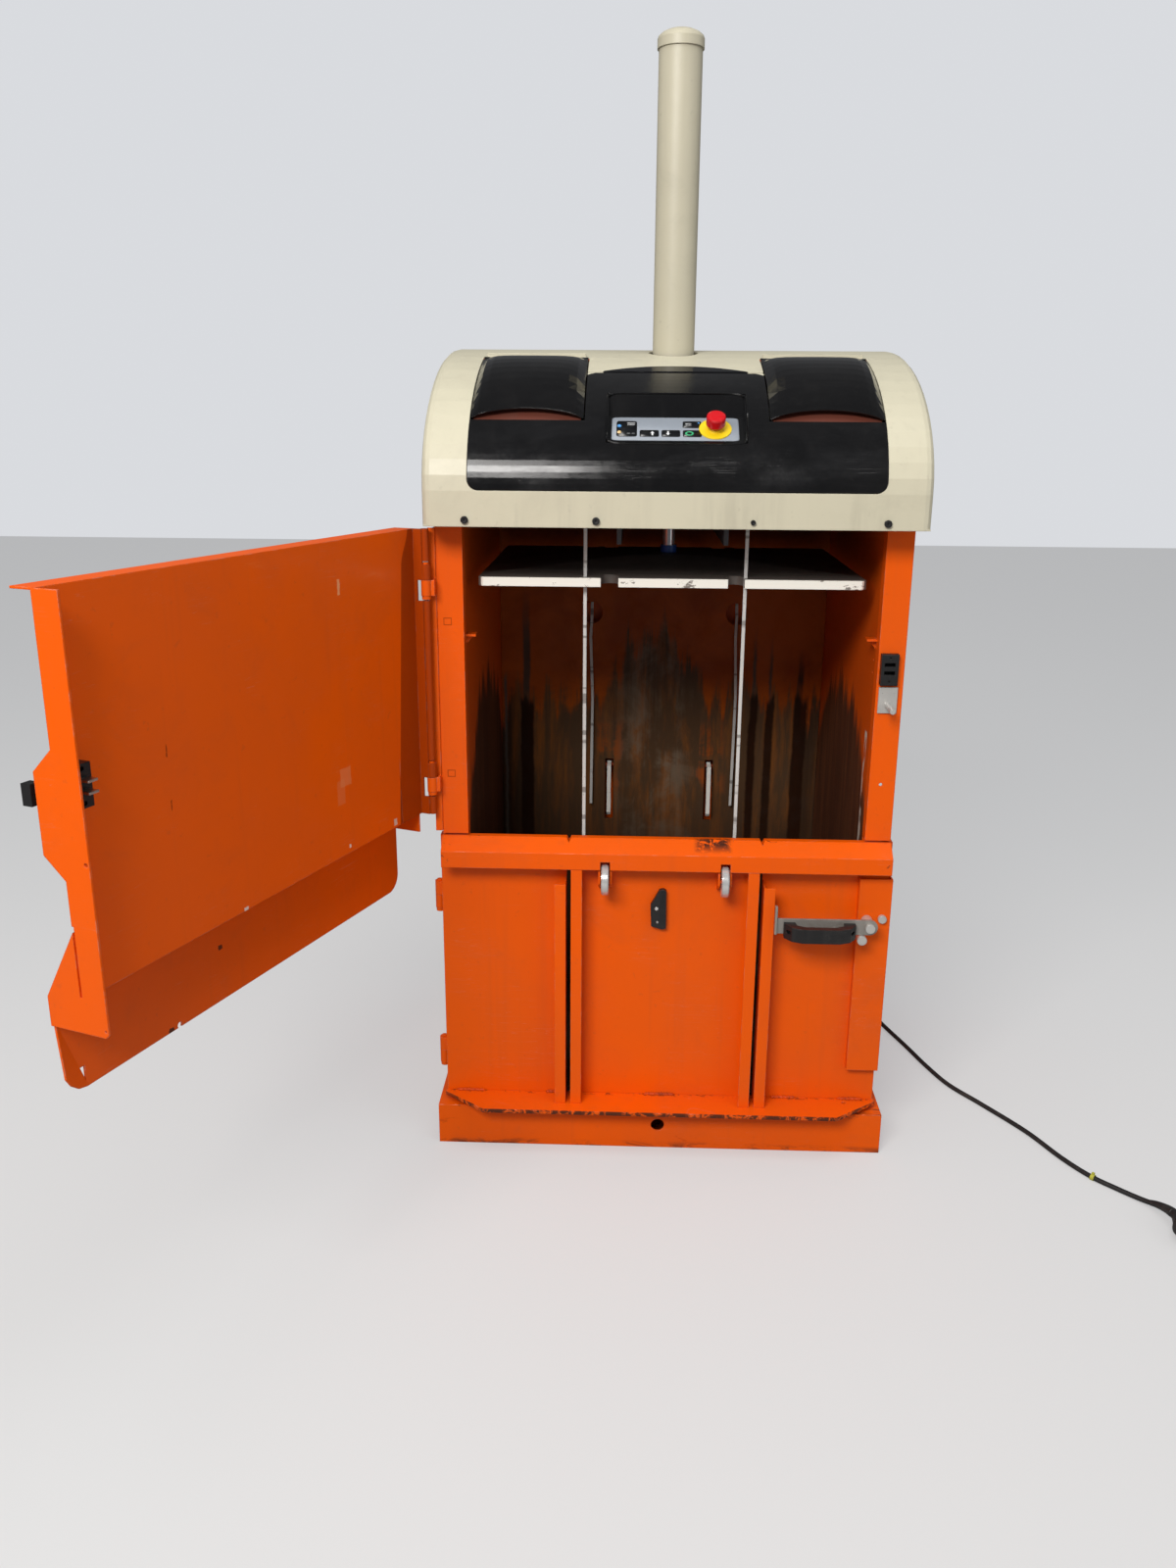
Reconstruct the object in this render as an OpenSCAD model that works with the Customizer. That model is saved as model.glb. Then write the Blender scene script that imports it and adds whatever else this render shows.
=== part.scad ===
// Vertical recycling baler with two side-hung doors, a hydraulic platen and strapping.
// X runs across the front, Y towards the back, Z up. The origin is the middle of the base, on the floor.

/* [Chamber] */
// Width of the opening between the uprights
opening_w = 700; // [640:1:760]
// Width of one folded upright, seen from the front
upright_w = 45; // [36:1:60]
// Depth from the uprights' front faces to the rear wall
chamber_d = 592; // [540:1:640]
// Depth of the space behind the rear wall
rear_gap = 44; // [36:1:60]
// Thickness of the folded frame sheet
frame_t = 3; // [2:0.5:5]
// Height of the frame, up to the cross head
frame_h = 1162; // [1120:1:1200]
// Depth of the returns folded back at the frame's edges
return_d = 40; // [30:1:60]
// Height of the chamber floor above the base
floor_rise = 20; // [14:1:40]

/* [Base] */
// How far the base stands out at each side of the frame
plinth_side = 21; // [15:1:45]
// Depth of the base
plinth_d = 660; // [650:1:720]
// Height of the base
plinth_h = 80; // [60:1:110]
// Thickness of the base sheet
plinth_t = 4; // [3:0.5:8]
// How far the base stands out in front of the uprights
plinth_toe = 18; // [10:1:30]
// Diameter of the hole in the front of the base
plinth_hole_d = 25; // [15:1:35]

/* [Lower door] */
// Height of the top edge of the lower door
lip_top_z = 613; // [590:1:640]
// Height of the lip's front face
lip_face_h = 30; // [20:1:40]
// Height of the sloping top of the lip
lip_slope_h = 21; // [12:1:26]
// How far the lip stands out in front of the door's panels
lip_out = 41; // [32:1:50]
// Distance of the door's panels behind the uprights' front plane
door_back = 13; // [8:1:18]
// Thickness of the lower door's sheet
door_t = 3; // [2:0.5:5]
// How far the lower door reaches past the frame at each side
door_over = 7; // [5:1:12]
// Gap under the lower door
door_gap_z = 8; // [5:1:15]
// Thickness of the door's bottom plate
sill_t = 7; // [5:1:10]
// How far the bottom plate stands out in front of the panels
sill_out = 68; // [50:1:80]
// Distance of each strapping slit from the middle
slit_x = 171; // [155:1:190]
// Width of each strapping slit
slit_w = 9; // [6:1:14]
// Width of the flanges beside the slits
channel_w = 20; // [14:1:26]
// Width of the latch plate on the door's right edge
latch_plate_w = 58; // [50:1:70]
// How far the latch plate stands out in front of the panels
latch_plate_out = 16; // [10:1:20]
// Height of the latch plate's lower end
latch_plate_z0 = 165; // [140:1:200]
// Distance of the latch plate's upper end below the lip
latch_plate_gap = 17; // [12:1:60]

/* [Upper door] */
// Distance of the closed panel in front of the uprights
upper_out = 36; // [32:1:42]
// Distance of the panel's lower edge above the lower door
upper_gap = 47; // [40:1:60]
// Distance of the door's top below the top of the frame
upper_top_gap = 11; // [10:1:30]
// How far the skirt and the top flange stand in front of the panel
skirt_out = 56; // [50:1:64]
// Depth of the top flange
top_flange = 36; // [24:1:38]
// How far the skirt hangs below the top of the lower door
skirt_drop = 101; // [80:1:120]
// Angle at which the door stands open at rest
open_angle = 111; // [90:1:125]
// Distance of the hinge line outside the uprights
hinge_out = 14; // [13.6:0.2:18]

/* [Lever] */
// Distance of the lever's pivot inside the frame's side
lever_in = 32; // [24:1:40]
// Distance of the lever's pivot below the lip
lever_drop = 95; // [82:1:120]
// Length of the lever from its pivot to its end
lever_l = 168; // [150:1:180]
// Width of the lever's flat bar
lever_w = 28; // [22:1:32]
// Thickness of the lever's flat bar
lever_t = 4; // [3:0.5:6]
// Diameter of the pivot bolt
lever_pin_d = 10; // [8:0.5:12]

/* [Press] */
// Gap between the platen and each side wall
platen_gap = 22; // [18:1:40]
// Gap between the platen and the rear wall
platen_rear_gap = 42; // [36:1:60]
// Distance of the platen's underside below the cross head at rest
platen_drop = 110; // [100:1:130]
// Thickness of the platen's rim
platen_t = 15; // [10:1:20]
// Diameter of the rod
rod_d = 22; // [18:1:28]
// Bore of the cylinder
bore_d = 45; // [40:1:50]
// Wall of the cylinder
barrel_t = 4; // [3:0.5:5]
// Distance of the cylinder behind the uprights' front plane
ram_y = 270; // [240:1:300]
// Travel of the platen
stroke = 480; // [400:10:500]
// Length of the cylinder below the piston at the end of its travel
cylinder_spare = 137; // [100:1:200]
// Outer diameter of the guard tube
guard_d = 74; // [72:1:80]
// Wall of the guard tube
guard_t = 3; // [2:0.5:4]

/* [Hood] */
// How far the hood reaches past the frame at each side
hood_side = 10; // [8:1:25]
// How far the hood's lower edge hangs over the top of the frame
hood_drop = 3; // [0:1:6]
// Height of the upright part of the hood's front
hood_front_h = 56; // [40:1:70]
// Rise of the hood's curve, up to the crest
hood_rise = 232; // [215:1:255]
// How far the hood stands in front of the uprights
hood_out = 70; // [64:1:80]
// Distance of the crest in front of the back of the frame
hood_crest_back = 239; // [225:1:260]
// Wall of the hood
hood_t = 3.5; // [3:0.5:5]
// Wall of the dark front panel
fascia_t = 3; // [2:0.5:4]
// Distance of the window's edge from the side of the hood
window_in = 74; // [65:1:85]
// Width of each roll cover
cover_w = 183; // [175:1:190]
// How far the roll covers bulge out
cover_bulge = 26; // [16:1:32]

/* [Strapping] */
// Diameter of a full strapping roll
roll_d = 170; // [140:1:180]
// Width of a strapping roll
roll_w = 66; // [50:1:72]
// Diameter of the roll's axle
axle_d = 20; // [16:1:24]
// Width of the strap
strap_w = 6; // [5:1:16]
// Thickness of the strap
strap_t = 1.2; // [0.8:0.1:2]

/* [Fits] */
// Running clearance of pins and shafts, on the radius
fit = 0.06; // [0.03:0.01:0.1]
// Clearance between faces that only lie beside each other
face_gap = 0.3; // [0.2:0.1:0.5]

/* [Hidden] */
$fn = 48;

front_y = -plinth_d / 2 + plinth_toe;
body_w = opening_w + 2 * upright_w;
plinth_w = body_w + 2 * plinth_side;
rear_y = front_y + chamber_d;
back_y = rear_y + frame_t + rear_gap;
floor_z = plinth_h + floor_rise;
split_z = lip_top_z + 4;
door_y = front_y + door_back;
lower_door_w = body_w + 2 * door_over;
lip_y = door_y - lip_out;
lip_z0 = lip_top_z - lip_slope_h - lip_face_h;
latch_plate_z1 = lip_z0 - latch_plate_gap;
sill_z0 = plinth_h + door_gap_z;
sill_z1 = sill_z0 + sill_t;
side_front_y = door_y + door_t + 6;
hinge_x = -body_w / 2 - hinge_out;
upper_y = front_y - upper_out;
upper_z0 = lip_top_z + upper_gap;
upper_z1 = frame_h - upper_top_gap;
skirt_z0 = lip_top_z - skirt_drop;
upper_hinge_y = front_y - 18;
lower_hinge_y = door_y + 20;
hinge_pin_r = 5;
knuckle_r = 8.5;
upper_side_x = body_w / 2 - 4;
upper_fold_x = hinge_x + 5.5;
sheet = 3;
skirt_y = upper_y - skirt_out;
gusset_z0 = upper_z0 - 4;
gusset_z1 = upper_z0 + 88;
ram_pos_y = front_y + ram_y;
head_t = 8;
head_z = frame_h + head_t;
barrel_r = bore_d / 2 + barrel_t;
flange_r = 60;
flange_t = 14;
gland_top_z = head_z + flange_t + 30;
gland_r = guard_d / 2 + 5;
platen_y = front_y + 30;
platen_w = opening_w - 2 * platen_gap;
platen_d = rear_y - platen_rear_gap - platen_y;
platen_z = frame_h - platen_drop;
platen_top_z = platen_z + platen_t;
platen_peak_z = platen_z + 35;
piston_h = 45;
piston_z = gland_top_z + stroke + cylinder_spare;
barrel_top_z = piston_z + piston_h + 40;
guard_top_z = barrel_top_z + 14;
guard_r = guard_d / 2;
service_x = body_w / 2 - 20;
hood_w = body_w + 2 * hood_side;
hood_z0 = frame_h - hood_drop;
hood_spring_z = hood_z0 + hood_front_h;
hood_top_z = hood_spring_z + hood_rise;
hood_y0 = front_y - hood_out;
hood_y1 = back_y + 8;
hood_cy = back_y - hood_crest_back;
hood_a = hood_cy - hood_y0;
hood_b = hood_rise;
window_x = hood_w / 2 - window_in;
cover_x0 = window_x - cover_w;
cover_a0 = 28.6;
cover_a1 = 65;
cover_pin_r = 2.5;
claw_x = 111;
claw_z = lip_top_z - 35;
claw_axis_y = rear_y + frame_t + 8;
claw_pin_r = 4;
strap_front_x = [-147, 126];
strap_rear_x = [-152, 160];
strap_front_y = front_y + 52;
axle_y = front_y + 152;
axle_z = head_z + 122;
roll_near = cover_x0 + 47;
roll_far = window_x - 48;
roll_x = [-roll_far, -roll_near, roll_near, roll_far];
panel_tilt = 54;
panel_y0 = front_y - 34;
panel_z0 = hood_spring_z + 76;
panel_l = 65;
recess_x = 112;
stop_x = 62;
stop_along = 32;
stop_r = 8;
roller_x = 106;
roller_r = 28;
roller_w = 13;
roller_z = lip_z0 - 21;
roller_y = lip_y + 11;
roller_pin_r = 4;
lug_z = split_z + 349;
socket_x = [opening_w / 2 + 4, opening_w / 2 + 33];
socket_z = [split_z + 280, split_z + 333];
key_x = opening_w / 2 + 18.5;
keeper_x = opening_w / 2 + 20;
keeper_z = split_z + 245;
keeper_r = 5;
latch_x = opening_w / 2 - 20;
latch_z = split_z + 288;
stud_r = 5;
lever_y = lip_y - 10;
lever_x = body_w / 2 - lever_in;
lever_z = lip_z0 - lever_drop;
bolt_head_r = 8.5;
stop_z = lever_z - lever_w / 2 - face_gap - bolt_head_r;
cord_r = 4.5;
cord_floor = cord_r + 0.1;
plug_r = 24;
plug_dir = -76;
gland_x = 300;
gland_z = hood_z0 + 51;

// Route of the supply cord, from the gland down behind the frame and forward along the floor
cord_points = [
    [gland_x, hood_y1 + 17, gland_z], [gland_x, hood_y1 + 34, gland_z - 1],
    [gland_x, hood_y1 + 52, gland_z - 10], [301, hood_y1 + 63, gland_z - 27],
    [302, hood_y1 + 68, gland_z - 50], [303, hood_y1 + 69, gland_z * 0.89],
    [306, hood_y1 + 70, gland_z * 0.76], [310, hood_y1 + 70, gland_z * 0.63],
    [314, hood_y1 + 71, gland_z * 0.5], [318, hood_y1 + 71, gland_z * 0.36],
    [322, hood_y1 + 72, gland_z * 0.23], [326, hood_y1 + 72, 160],
    [329, hood_y1 + 73, 90], [333, hood_y1 + 73, 50], [343, hood_y1 + 71, 22],
    [362, hood_y1 + 66, 7], [392, hood_y1 + 54, cord_floor], [430, hood_y1 + 30, cord_floor],
    [468, 320, cord_floor], [498, 250, cord_floor], [524, 164, cord_floor],
    [552, 78, cord_floor], [578, -8, cord_floor], [607, -83, cord_floor],
    [653, -153, cord_floor], [714, -250, cord_floor], [754, -337, cord_floor],
    [789, -395, cord_floor], [828, -436, cord_floor], [858, -468, 7], [870, -488, 14],
    [877, -510, 21], [881, -526, plug_r + 0.3]
];

// Box between two corners
module block(x, y, z) {
    translate([x[0], y[0], z[0]]) cube([x[1] - x[0], y[1] - y[0], z[1] - z[0]]);
}

// Outline in the YZ plane, carried along X
module along_x(x0, x1) {
    translate([x0, 0, 0]) rotate([90, 0, 90]) linear_extrude(x1 - x0) children();
}

// Outline in the XZ plane, carried along Y
module along_y(y0, y1) {
    translate([0, y1, 0]) rotate([90, 0, 0]) linear_extrude(y1 - y0) children();
}

// Outline in the XY plane, carried along Z
module along_z(z0, z1) {
    translate([0, 0, z0]) linear_extrude(z1 - z0) children();
}

module rod_x(x0, x1, y, z, r) {
    translate([x0, y, z]) rotate([0, 90, 0]) cylinder(h = x1 - x0, r = r);
}

module rod_y(y0, y1, x, z, r) {
    translate([x, y1, z]) rotate([90, 0, 0]) cylinder(h = y1 - y0, r = r);
}

module rod_z(z0, z1, x, y, r) {
    translate([x, y, z0]) cylinder(h = z1 - z0, r = r);
}

// Rectangle with round corners, made of exact arcs
module round_rect(x0, x1, y0, y1, r) {
    translate([x0 + r, y0]) square([x1 - x0 - 2 * r, y1 - y0]);
    translate([x0, y0 + r]) square([x1 - x0, y1 - y0 - 2 * r]);
    for (x = [x0 + r, x1 - r]) {
        for (y = [y0 + r, y1 - r]) {
            translate([x, y]) circle(r = r);
        }
    }
}

// Everything that swings with the upper door is drawn closed and turned open here
module swung_open() {
    translate([hinge_x, upper_hinge_y, 0]) rotate([0, 0, -open_angle]) {
        translate([-hinge_x, -upper_hinge_y, 0]) children();
    }
}

// Hexagon or socket head screw along Y, its head at the front
module screw_y(x, y, z, r, l) {
    rod_y(y - r, y, x, z, 1.7 * r);
    rod_y(y, y + l, x, z, r);
}

module plinth() {
    color([0.93, 0.35, 0.03]) difference() {
        block([-plinth_w / 2, plinth_w / 2], [-plinth_d / 2, plinth_d / 2], [0, plinth_h]);
        block([-plinth_w / 2 + plinth_t, plinth_w / 2 - plinth_t],
              [-plinth_d / 2 + plinth_t, plinth_d / 2 - plinth_t],
              [plinth_t, plinth_h - plinth_t]);
        rod_y(-plinth_d / 2 - 1, -plinth_d / 2 + plinth_t + 1, -2, plinth_h * 0.6, plinth_hole_d / 2);
    }
}

module floor_plate() {
    x1 = opening_w / 2 - face_gap;
    y0 = side_front_y;
    y1 = rear_y - face_gap;
    color([0.30, 0.27, 0.25]) difference() {
        block([-x1, x1], [y0, y1], [plinth_h, floor_z]);
        block([-x1 + 4, x1 - 4], [y0 + 4, y1 - 4], [plinth_h - 1, floor_z - 4]);
    }
}

// Plan of the left side: wall, upright folded outwards, returns at both edges
module side_plan(front) {
    x_in = -opening_w / 2;
    x_out = -body_w / 2;
    translate([x_in - frame_t, front]) square([frame_t, back_y - front]);
    translate([x_out, front]) square([upright_w, frame_t]);
    translate([x_out, front]) square([frame_t, return_d]);
    translate([x_out, back_y - frame_t]) square([upright_w, frame_t]);
    translate([x_out, back_y - return_d]) square([frame_t, return_d]);
}

// Stiffening ribs welded across the outside of a side wall
module side_ribs() {
    rib_t = 5;
    for (z = [0.28, 0.50, 0.75] * frame_h) {
        block([-body_w / 2 + 2 * frame_t, -opening_w / 2 - frame_t / 2],
              [side_front_y + frame_t / 2, back_y - frame_t / 2], [z, z + rib_t]);
    }
}

// Small lug that stands inwards from a side wall
module side_lug() {
    x0 = -opening_w / 2 - frame_t / 2;
    block([x0, -opening_w / 2 + 17], [front_y + 22, front_y + 46], [lug_z, lug_z + 4]);
    along_y(front_y + 32, front_y + 36) {
        polygon([[x0, lug_z + 2], [x0, lug_z - 16], [-opening_w / 2 + 14, lug_z + 2]]);
    }
}

module side_frame() {
    along_z(plinth_h, split_z) side_plan(side_front_y);
    along_z(split_z, frame_h) side_plan(front_y);
    side_ribs();
    side_lug();
}

module left_side_frame() {
    color([0.93, 0.35, 0.03]) side_frame();
}

module right_side_frame() {
    x = opening_w / 2;
    color([0.93, 0.35, 0.03]) difference() {
        mirror([1, 0, 0]) side_frame();
        block([socket_x[0] - face_gap, socket_x[1] + face_gap], [front_y - 1, front_y + frame_t + 1],
              [socket_z[0] - face_gap, socket_z[1] + face_gap]);
        for (z = [split_z + 291, split_z + 314]) {
            block([x - 1, x + frame_t + 1], [front_y + 34, front_y + 46], [z, z + 3]);
        }
        rod_y(front_y - 1, front_y + frame_t + 1, keeper_x, split_z + 103, 3);
    }
}

module rear_wall() {
    x1 = opening_w / 2 - face_gap;
    color([0.55, 0.24, 0.08]) difference() {
        union() {
            block([-x1, x1], [rear_y, rear_y + frame_t], [plinth_h, frame_h]);
            for (x = [-250, 0, 250]) {
                block([x - 2.5, x + 2.5], [rear_y + frame_t / 2, rear_y + rear_gap - 6], [plinth_h, frame_h]);
            }
        }
        for (s = [-1, 1]) {
            block([s * claw_x - 9, s * claw_x + 9], [rear_y - 1, rear_y + frame_t + 1],
                  [claw_z - 124, claw_z + 16]);
        }
        for (x = strap_rear_x) {
            rod_y(rear_y - 1, rear_y + frame_t + 1, x, split_z + 304, 23);
        }
    }
}

module rear_cover() {
    x1 = opening_w / 2 - face_gap;
    color([0.93, 0.35, 0.03]) difference() {
        union() {
            block([-x1, x1], [back_y - 2, back_y], [plinth_h + 20, frame_h - 60]);
            for (x = [-x1, x1 - 2]) {
                block([x, x + 2], [back_y - 26, back_y - 1], [plinth_h + 20, frame_h - 60]);
            }
        }
        for (z = [plinth_h + 60, frame_h / 2, frame_h - 100]) {
            for (x = [-x1 + 24, x1 - 24]) {
                rod_y(back_y - 3, back_y + 1, x, z, 4.2);
            }
        }
    }
}

module cross_head() {
    y0 = front_y + 6;
    z0 = frame_h - 1;
    z1 = head_z + 1;
    color([0.22, 0.22, 0.22]) difference() {
        union() {
            block([-body_w / 2, body_w / 2], [y0, back_y - 2], [frame_h, head_z]);
            for (s = [-1, 1]) {
                block([s * 90 - 4, s * 90 + 4], [y0 + 40, rear_y - 20], [frame_h - 40, frame_h + 1]);
            }
        }
        rod_z(z0, z1, 0, ram_pos_y, rod_d / 2 + 6);
        for (a = [45:90:315]) {
            rod_z(z0, z1, 48 * cos(a), ram_pos_y + 48 * sin(a), 5.2);
        }
        for (x = strap_front_x) {
            block([x - 14, x + 14], [strap_front_y - 18, strap_front_y + strap_t / 2 + 0.2], [z0, z1]);
        }
        for (x = strap_rear_x) {
            block([x - 14, x + 14], [rear_y + 14, rear_y + 36], [z0, z1]);
        }
    }
}

upper_knuckle_z = [upper_z0 + 40, upper_z1 - 110];
lower_knuckle_z = [sill_z1 + 50, lip_z0 - 100];
knuckle_h = 26;

// One fixed knuckle with the leaf that carries it on the side of the frame
module fixed_knuckle(y, z) {
    difference() {
        union() {
            rod_z(z, z + knuckle_h, hinge_x, y, knuckle_r);
            block([hinge_x, -body_w / 2], [y - 2, y + 2], [z, z + knuckle_h]);
            block([-body_w / 2 - 4, -body_w / 2], [y - 2, max(y, front_y) + 34], [z, z + knuckle_h]);
        }
        rod_z(z - 1, z + knuckle_h + 1, hinge_x, y, hinge_pin_r + fit);
    }
}

module hinge_strip() {
    color([0.62, 0.20, 0.02]) {
        for (z = upper_knuckle_z) {
            fixed_knuckle(upper_hinge_y, z);
        }
        for (z = lower_knuckle_z) {
            fixed_knuckle(lower_hinge_y, z);
        }
        block([-body_w / 2 - 12, -body_w / 2], [front_y - 4, front_y], [split_z + 6, upper_z1]);
        block([-body_w / 2 - 4, -body_w / 2], [front_y - 1, front_y + 26], [split_z + 6, upper_z1]);
    }
}

// Moving knuckle that sits on top of a fixed one, with the strip that joins it to its door
module door_knuckle(y, z, x_to) {
    z0 = z + knuckle_h + face_gap;
    difference() {
        union() {
            rod_z(z0, z0 + knuckle_h, hinge_x, y, knuckle_r);
            block([hinge_x, x_to], [y - knuckle_r, y - knuckle_r + 3], [z0, z0 + knuckle_h]);
        }
        rod_z(z0 - 1, z0 + knuckle_h + 1, hinge_x, y, hinge_pin_r + fit);
    }
}

module door_pin(y, z) {
    rod_z(z - 3, z + 2 * knuckle_h + face_gap + 3, hinge_x, y, hinge_pin_r);
    rod_z(z - 6, z, hinge_x, y, knuckle_r - 1);
}

function hood_point(angle, off) = [
    hood_cy - (hood_a + off) * cos(angle),
    hood_spring_z + (hood_b + off) * sin(angle)
];
cover_axis = hood_point(cover_a1, -3.6);

module hinge_pins() {
    x0 = cover_x0 - 0.5;
    x1 = window_x + 0.5;
    color([0.55, 0.55, 0.56]) {
        for (z = upper_knuckle_z) {
            door_pin(upper_hinge_y, z);
        }
        for (z = lower_knuckle_z) {
            door_pin(lower_hinge_y, z);
        }
        for (ends = [[-x1, -x0], [x0, x1]]) {
            rod_x(ends[0], ends[1], cover_axis[0], cover_axis[1], cover_pin_r);
        }
    }
}

module cylinder_barrel() {
    color([0.18, 0.19, 0.20]) difference() {
        union() {
            rod_z(head_z, head_z + flange_t, 0, ram_pos_y, flange_r);
            rod_z(head_z + flange_t - 1, gland_top_z, 0, ram_pos_y, gland_r);
            rod_z(gland_top_z - 1, barrel_top_z, 0, ram_pos_y, barrel_r);
        }
        rod_z(head_z - 1, gland_top_z + 2, 0, ram_pos_y, rod_d / 2 + fit);
        rod_z(gland_top_z, barrel_top_z - 12, 0, ram_pos_y, bore_d / 2);
        rod_z(barrel_top_z - 13, barrel_top_z + 1, 0, ram_pos_y, 4);
        for (a = [45:90:315]) {
            rod_z(head_z - 1, head_z + flange_t + 1, 52 * cos(a), ram_pos_y + 52 * sin(a), 4.5);
        }
    }
}

module cylinder_guard() {
    color([0.74, 0.72, 0.64]) difference() {
        rod_z(gland_top_z, guard_top_z, 0, ram_pos_y, guard_r);
        rod_z(gland_top_z - 1, guard_top_z + 1, 0, ram_pos_y, guard_r - guard_t);
    }
}

module guard_cap() {
    color([0.72, 0.70, 0.62]) translate([0, ram_pos_y, 0]) rotate_extrude($fn = 64) {
        polygon([[0, guard_top_z], [guard_r + 0.1, guard_top_z], [guard_r + 0.1, guard_top_z - 12],
                 [guard_r + 2.5, guard_top_z - 12], [guard_r + 2.5, guard_top_z + 3],
                 [guard_r + 1, guard_top_z + 7], [guard_r - 5, guard_top_z + 12],
                 [guard_r - 14, guard_top_z + 16], [0, guard_top_z + 19]]);
    }
}

// Side outline of the hood, drawn in by a given distance
module hood_profile(off) {
    polygon(concat(
        [[hood_y0 + off, hood_z0 - 1]],
        [for (a = [0:6:78]) hood_point(a, -off)],
        [for (a = [84:7:119]) hood_point(a, -off)],
        [[hood_y1 - off - 9, hood_top_z - 51 - off], [hood_y1 - off - 2, hood_top_z - 62 - off],
         [hood_y1 - off, hood_top_z - 77 - off], [hood_y1 - off, hood_z0 - 1]]
    ));
}

module hood_body(off) {
    half = hood_w / 2 - off;
    hull() {
        along_x(-half, half) hood_profile(off + 14);
        along_x(-half + 2, half - 2) hood_profile(off + 7);
        along_x(-half + 7, half - 7) hood_profile(off + 2);
        along_x(-half + 14, half - 14) hood_profile(off);
    }
}

// Outline of the window seen from the front, its lower corners round
module window_outline(grow) {
    round_rect(-window_x - grow, window_x + grow, hood_spring_z + 1 - grow, hood_top_z + 60, 18);
}

// What the window takes out of the hood: the middle with the controls, and the two cover places
module window_cut() {
    x0 = cover_x0 - 1;
    x1 = window_x + 2;
    intersection() {
        along_y(hood_y0 - 9, cover_axis[0] + 6.5) window_outline(0.5);
        union() {
            block([-x0 - 1, x0 + 1], [hood_y0 - 9, front_y + 122], [hood_z0, hood_top_z + 20]);
            for (ends = [[-x1, -x0], [x0, x1]]) {
                block(ends, [hood_y0 - 9, cover_axis[0] + 6.5], [hood_z0, hood_top_z + 20]);
            }
        }
    }
}

// Feet on the cross head, lugs for the covers' pins and a ledge behind each cover
module hood_inside(s) {
    foot = [s * (body_w / 2 - 18), s * (hood_w / 2 - 2)];
    ledge = [s * (cover_x0 + 6), s * (window_x - 4)];
    y = cover_axis[0];
    z = cover_axis[1];
    for (y0 = [front_y + 70, back_y - 120]) {
        block([min(foot), max(foot)], [y0, y0 + 40], [head_z, head_z + 3]);
    }
    for (x = [cover_x0 - 6, window_x + 0.5]) {
        lug = [s * x, s * (x + 5.5)];
        block([min(lug), max(lug)], [y - 5, y + 12], [z - 5, z + 3]);
    }
    block([min(ledge), max(ledge)], [y + 10, y + 20], [z + 1, z + 12]);
}

module hood_shell() {
    color([0.85, 0.83, 0.73]) {
        difference() {
            hood_body(0);
            hood_body(hood_t);
            block([-hood_w, hood_w], [hood_y0 - 9, hood_y1 + 9], [hood_z0 - 60, hood_z0]);
            window_cut();
            rod_z(hood_spring_z, hood_top_z + 20, 0, ram_pos_y, guard_r + 7);
            rod_y(hood_y1 - 9, hood_y1 + 9, gland_x, gland_z, 7);
        }
        difference() {
            block([-hood_w / 2 + 2, hood_w / 2 - 2], [hood_y0 + 2, hood_y1 - 2], [hood_z0, hood_z0 + 2.5]);
            block([-body_w / 2 - 1, body_w / 2 + 1], [front_y - 5, back_y + 1], [hood_z0 - 1, hood_z0 + 9]);
        }
        hood_inside(-1);
        hood_inside(1);
    }
}

// Strip of sheet that follows the hood's front between two angles
module hood_strip(a0, a1, off, t) {
    n = 12;
    polygon(concat(
        [for (i = [0:n]) hood_point(a0 + (a1 - a0) * i / n, -off)],
        [for (i = [n:-1:0]) hood_point(a0 + (a1 - a0) * i / n, -off - t)]
    ));
}

module fascia_panel() {
    z = hood_spring_z;
    color([0.03, 0.03, 0.035]) difference() {
        union() {
            intersection() {
                union() {
                    along_x(-window_x, window_x) hood_strip(0.5, cover_a0 - 0.7, 0.4, fascia_t);
                    along_x(-cover_x0 + 1, cover_x0 - 1) hood_strip(cover_a0 - 0.8, 52.6, 0.4, fascia_t);
                }
                along_y(hood_y0 - 9, hood_cy) window_outline(0);
            }
            block([-window_x + 20, window_x - 20], [hood_y0 + hood_t, hood_y0 + hood_t + 4],
                  [z - 20, z + 14]);
        }
        block([-recess_x, recess_x], [hood_y0 - 9, hood_cy], [panel_z0 - 1, z + 150]);
    }
}

// Tray of the controls: tilted plate, back wall and cheeks
module control_plate() {
    ty = sin(panel_tilt);
    tz = cos(panel_tilt);
    p0 = [panel_y0 - ty, panel_z0 - tz];
    p1 = [panel_y0 + panel_l * ty, panel_z0 + panel_l * tz];
    p2 = hood_point(40.3, -1);
    x1 = recess_x - face_gap;
    color([0.04, 0.04, 0.045]) difference() {
        union() {
            along_x(-x1, x1) {
                polygon([p0, p1, p2, p2 + [2, -3], p1 + [3, -3.4], p0 + [3.4, -2.2]]);
            }
            for (x = [-x1, x1 - 2.5]) {
                along_x(x, x + 2.5) {
                    polygon(concat([p0, p1, p2], [for (i = [5:-1:1]) hood_point(19.5 + 20.8 * i / 6, -1)]));
                }
            }
        }
        stop_placed() rod_z(-12, 6, 0, 0, stop_r + fit);
    }
}

// The stop button's frame: origin on the plate, Z along the button's axis
module stop_placed() {
    translate([stop_x, panel_y0 + stop_along * sin(panel_tilt), panel_z0 + stop_along * cos(panel_tilt)]) {
        rotate([90 - panel_tilt, 0, 0]) children();
    }
}

module stop_base() {
    color([0.95, 0.75, 0.05]) stop_placed() difference() {
        union() {
            rod_z(0, 2.5, 0, 0, 26);
            rod_z(2, 6, 0, 0, 12);
        }
        rod_z(-2, 8, 0, 0, stop_r + fit);
    }
}

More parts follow.
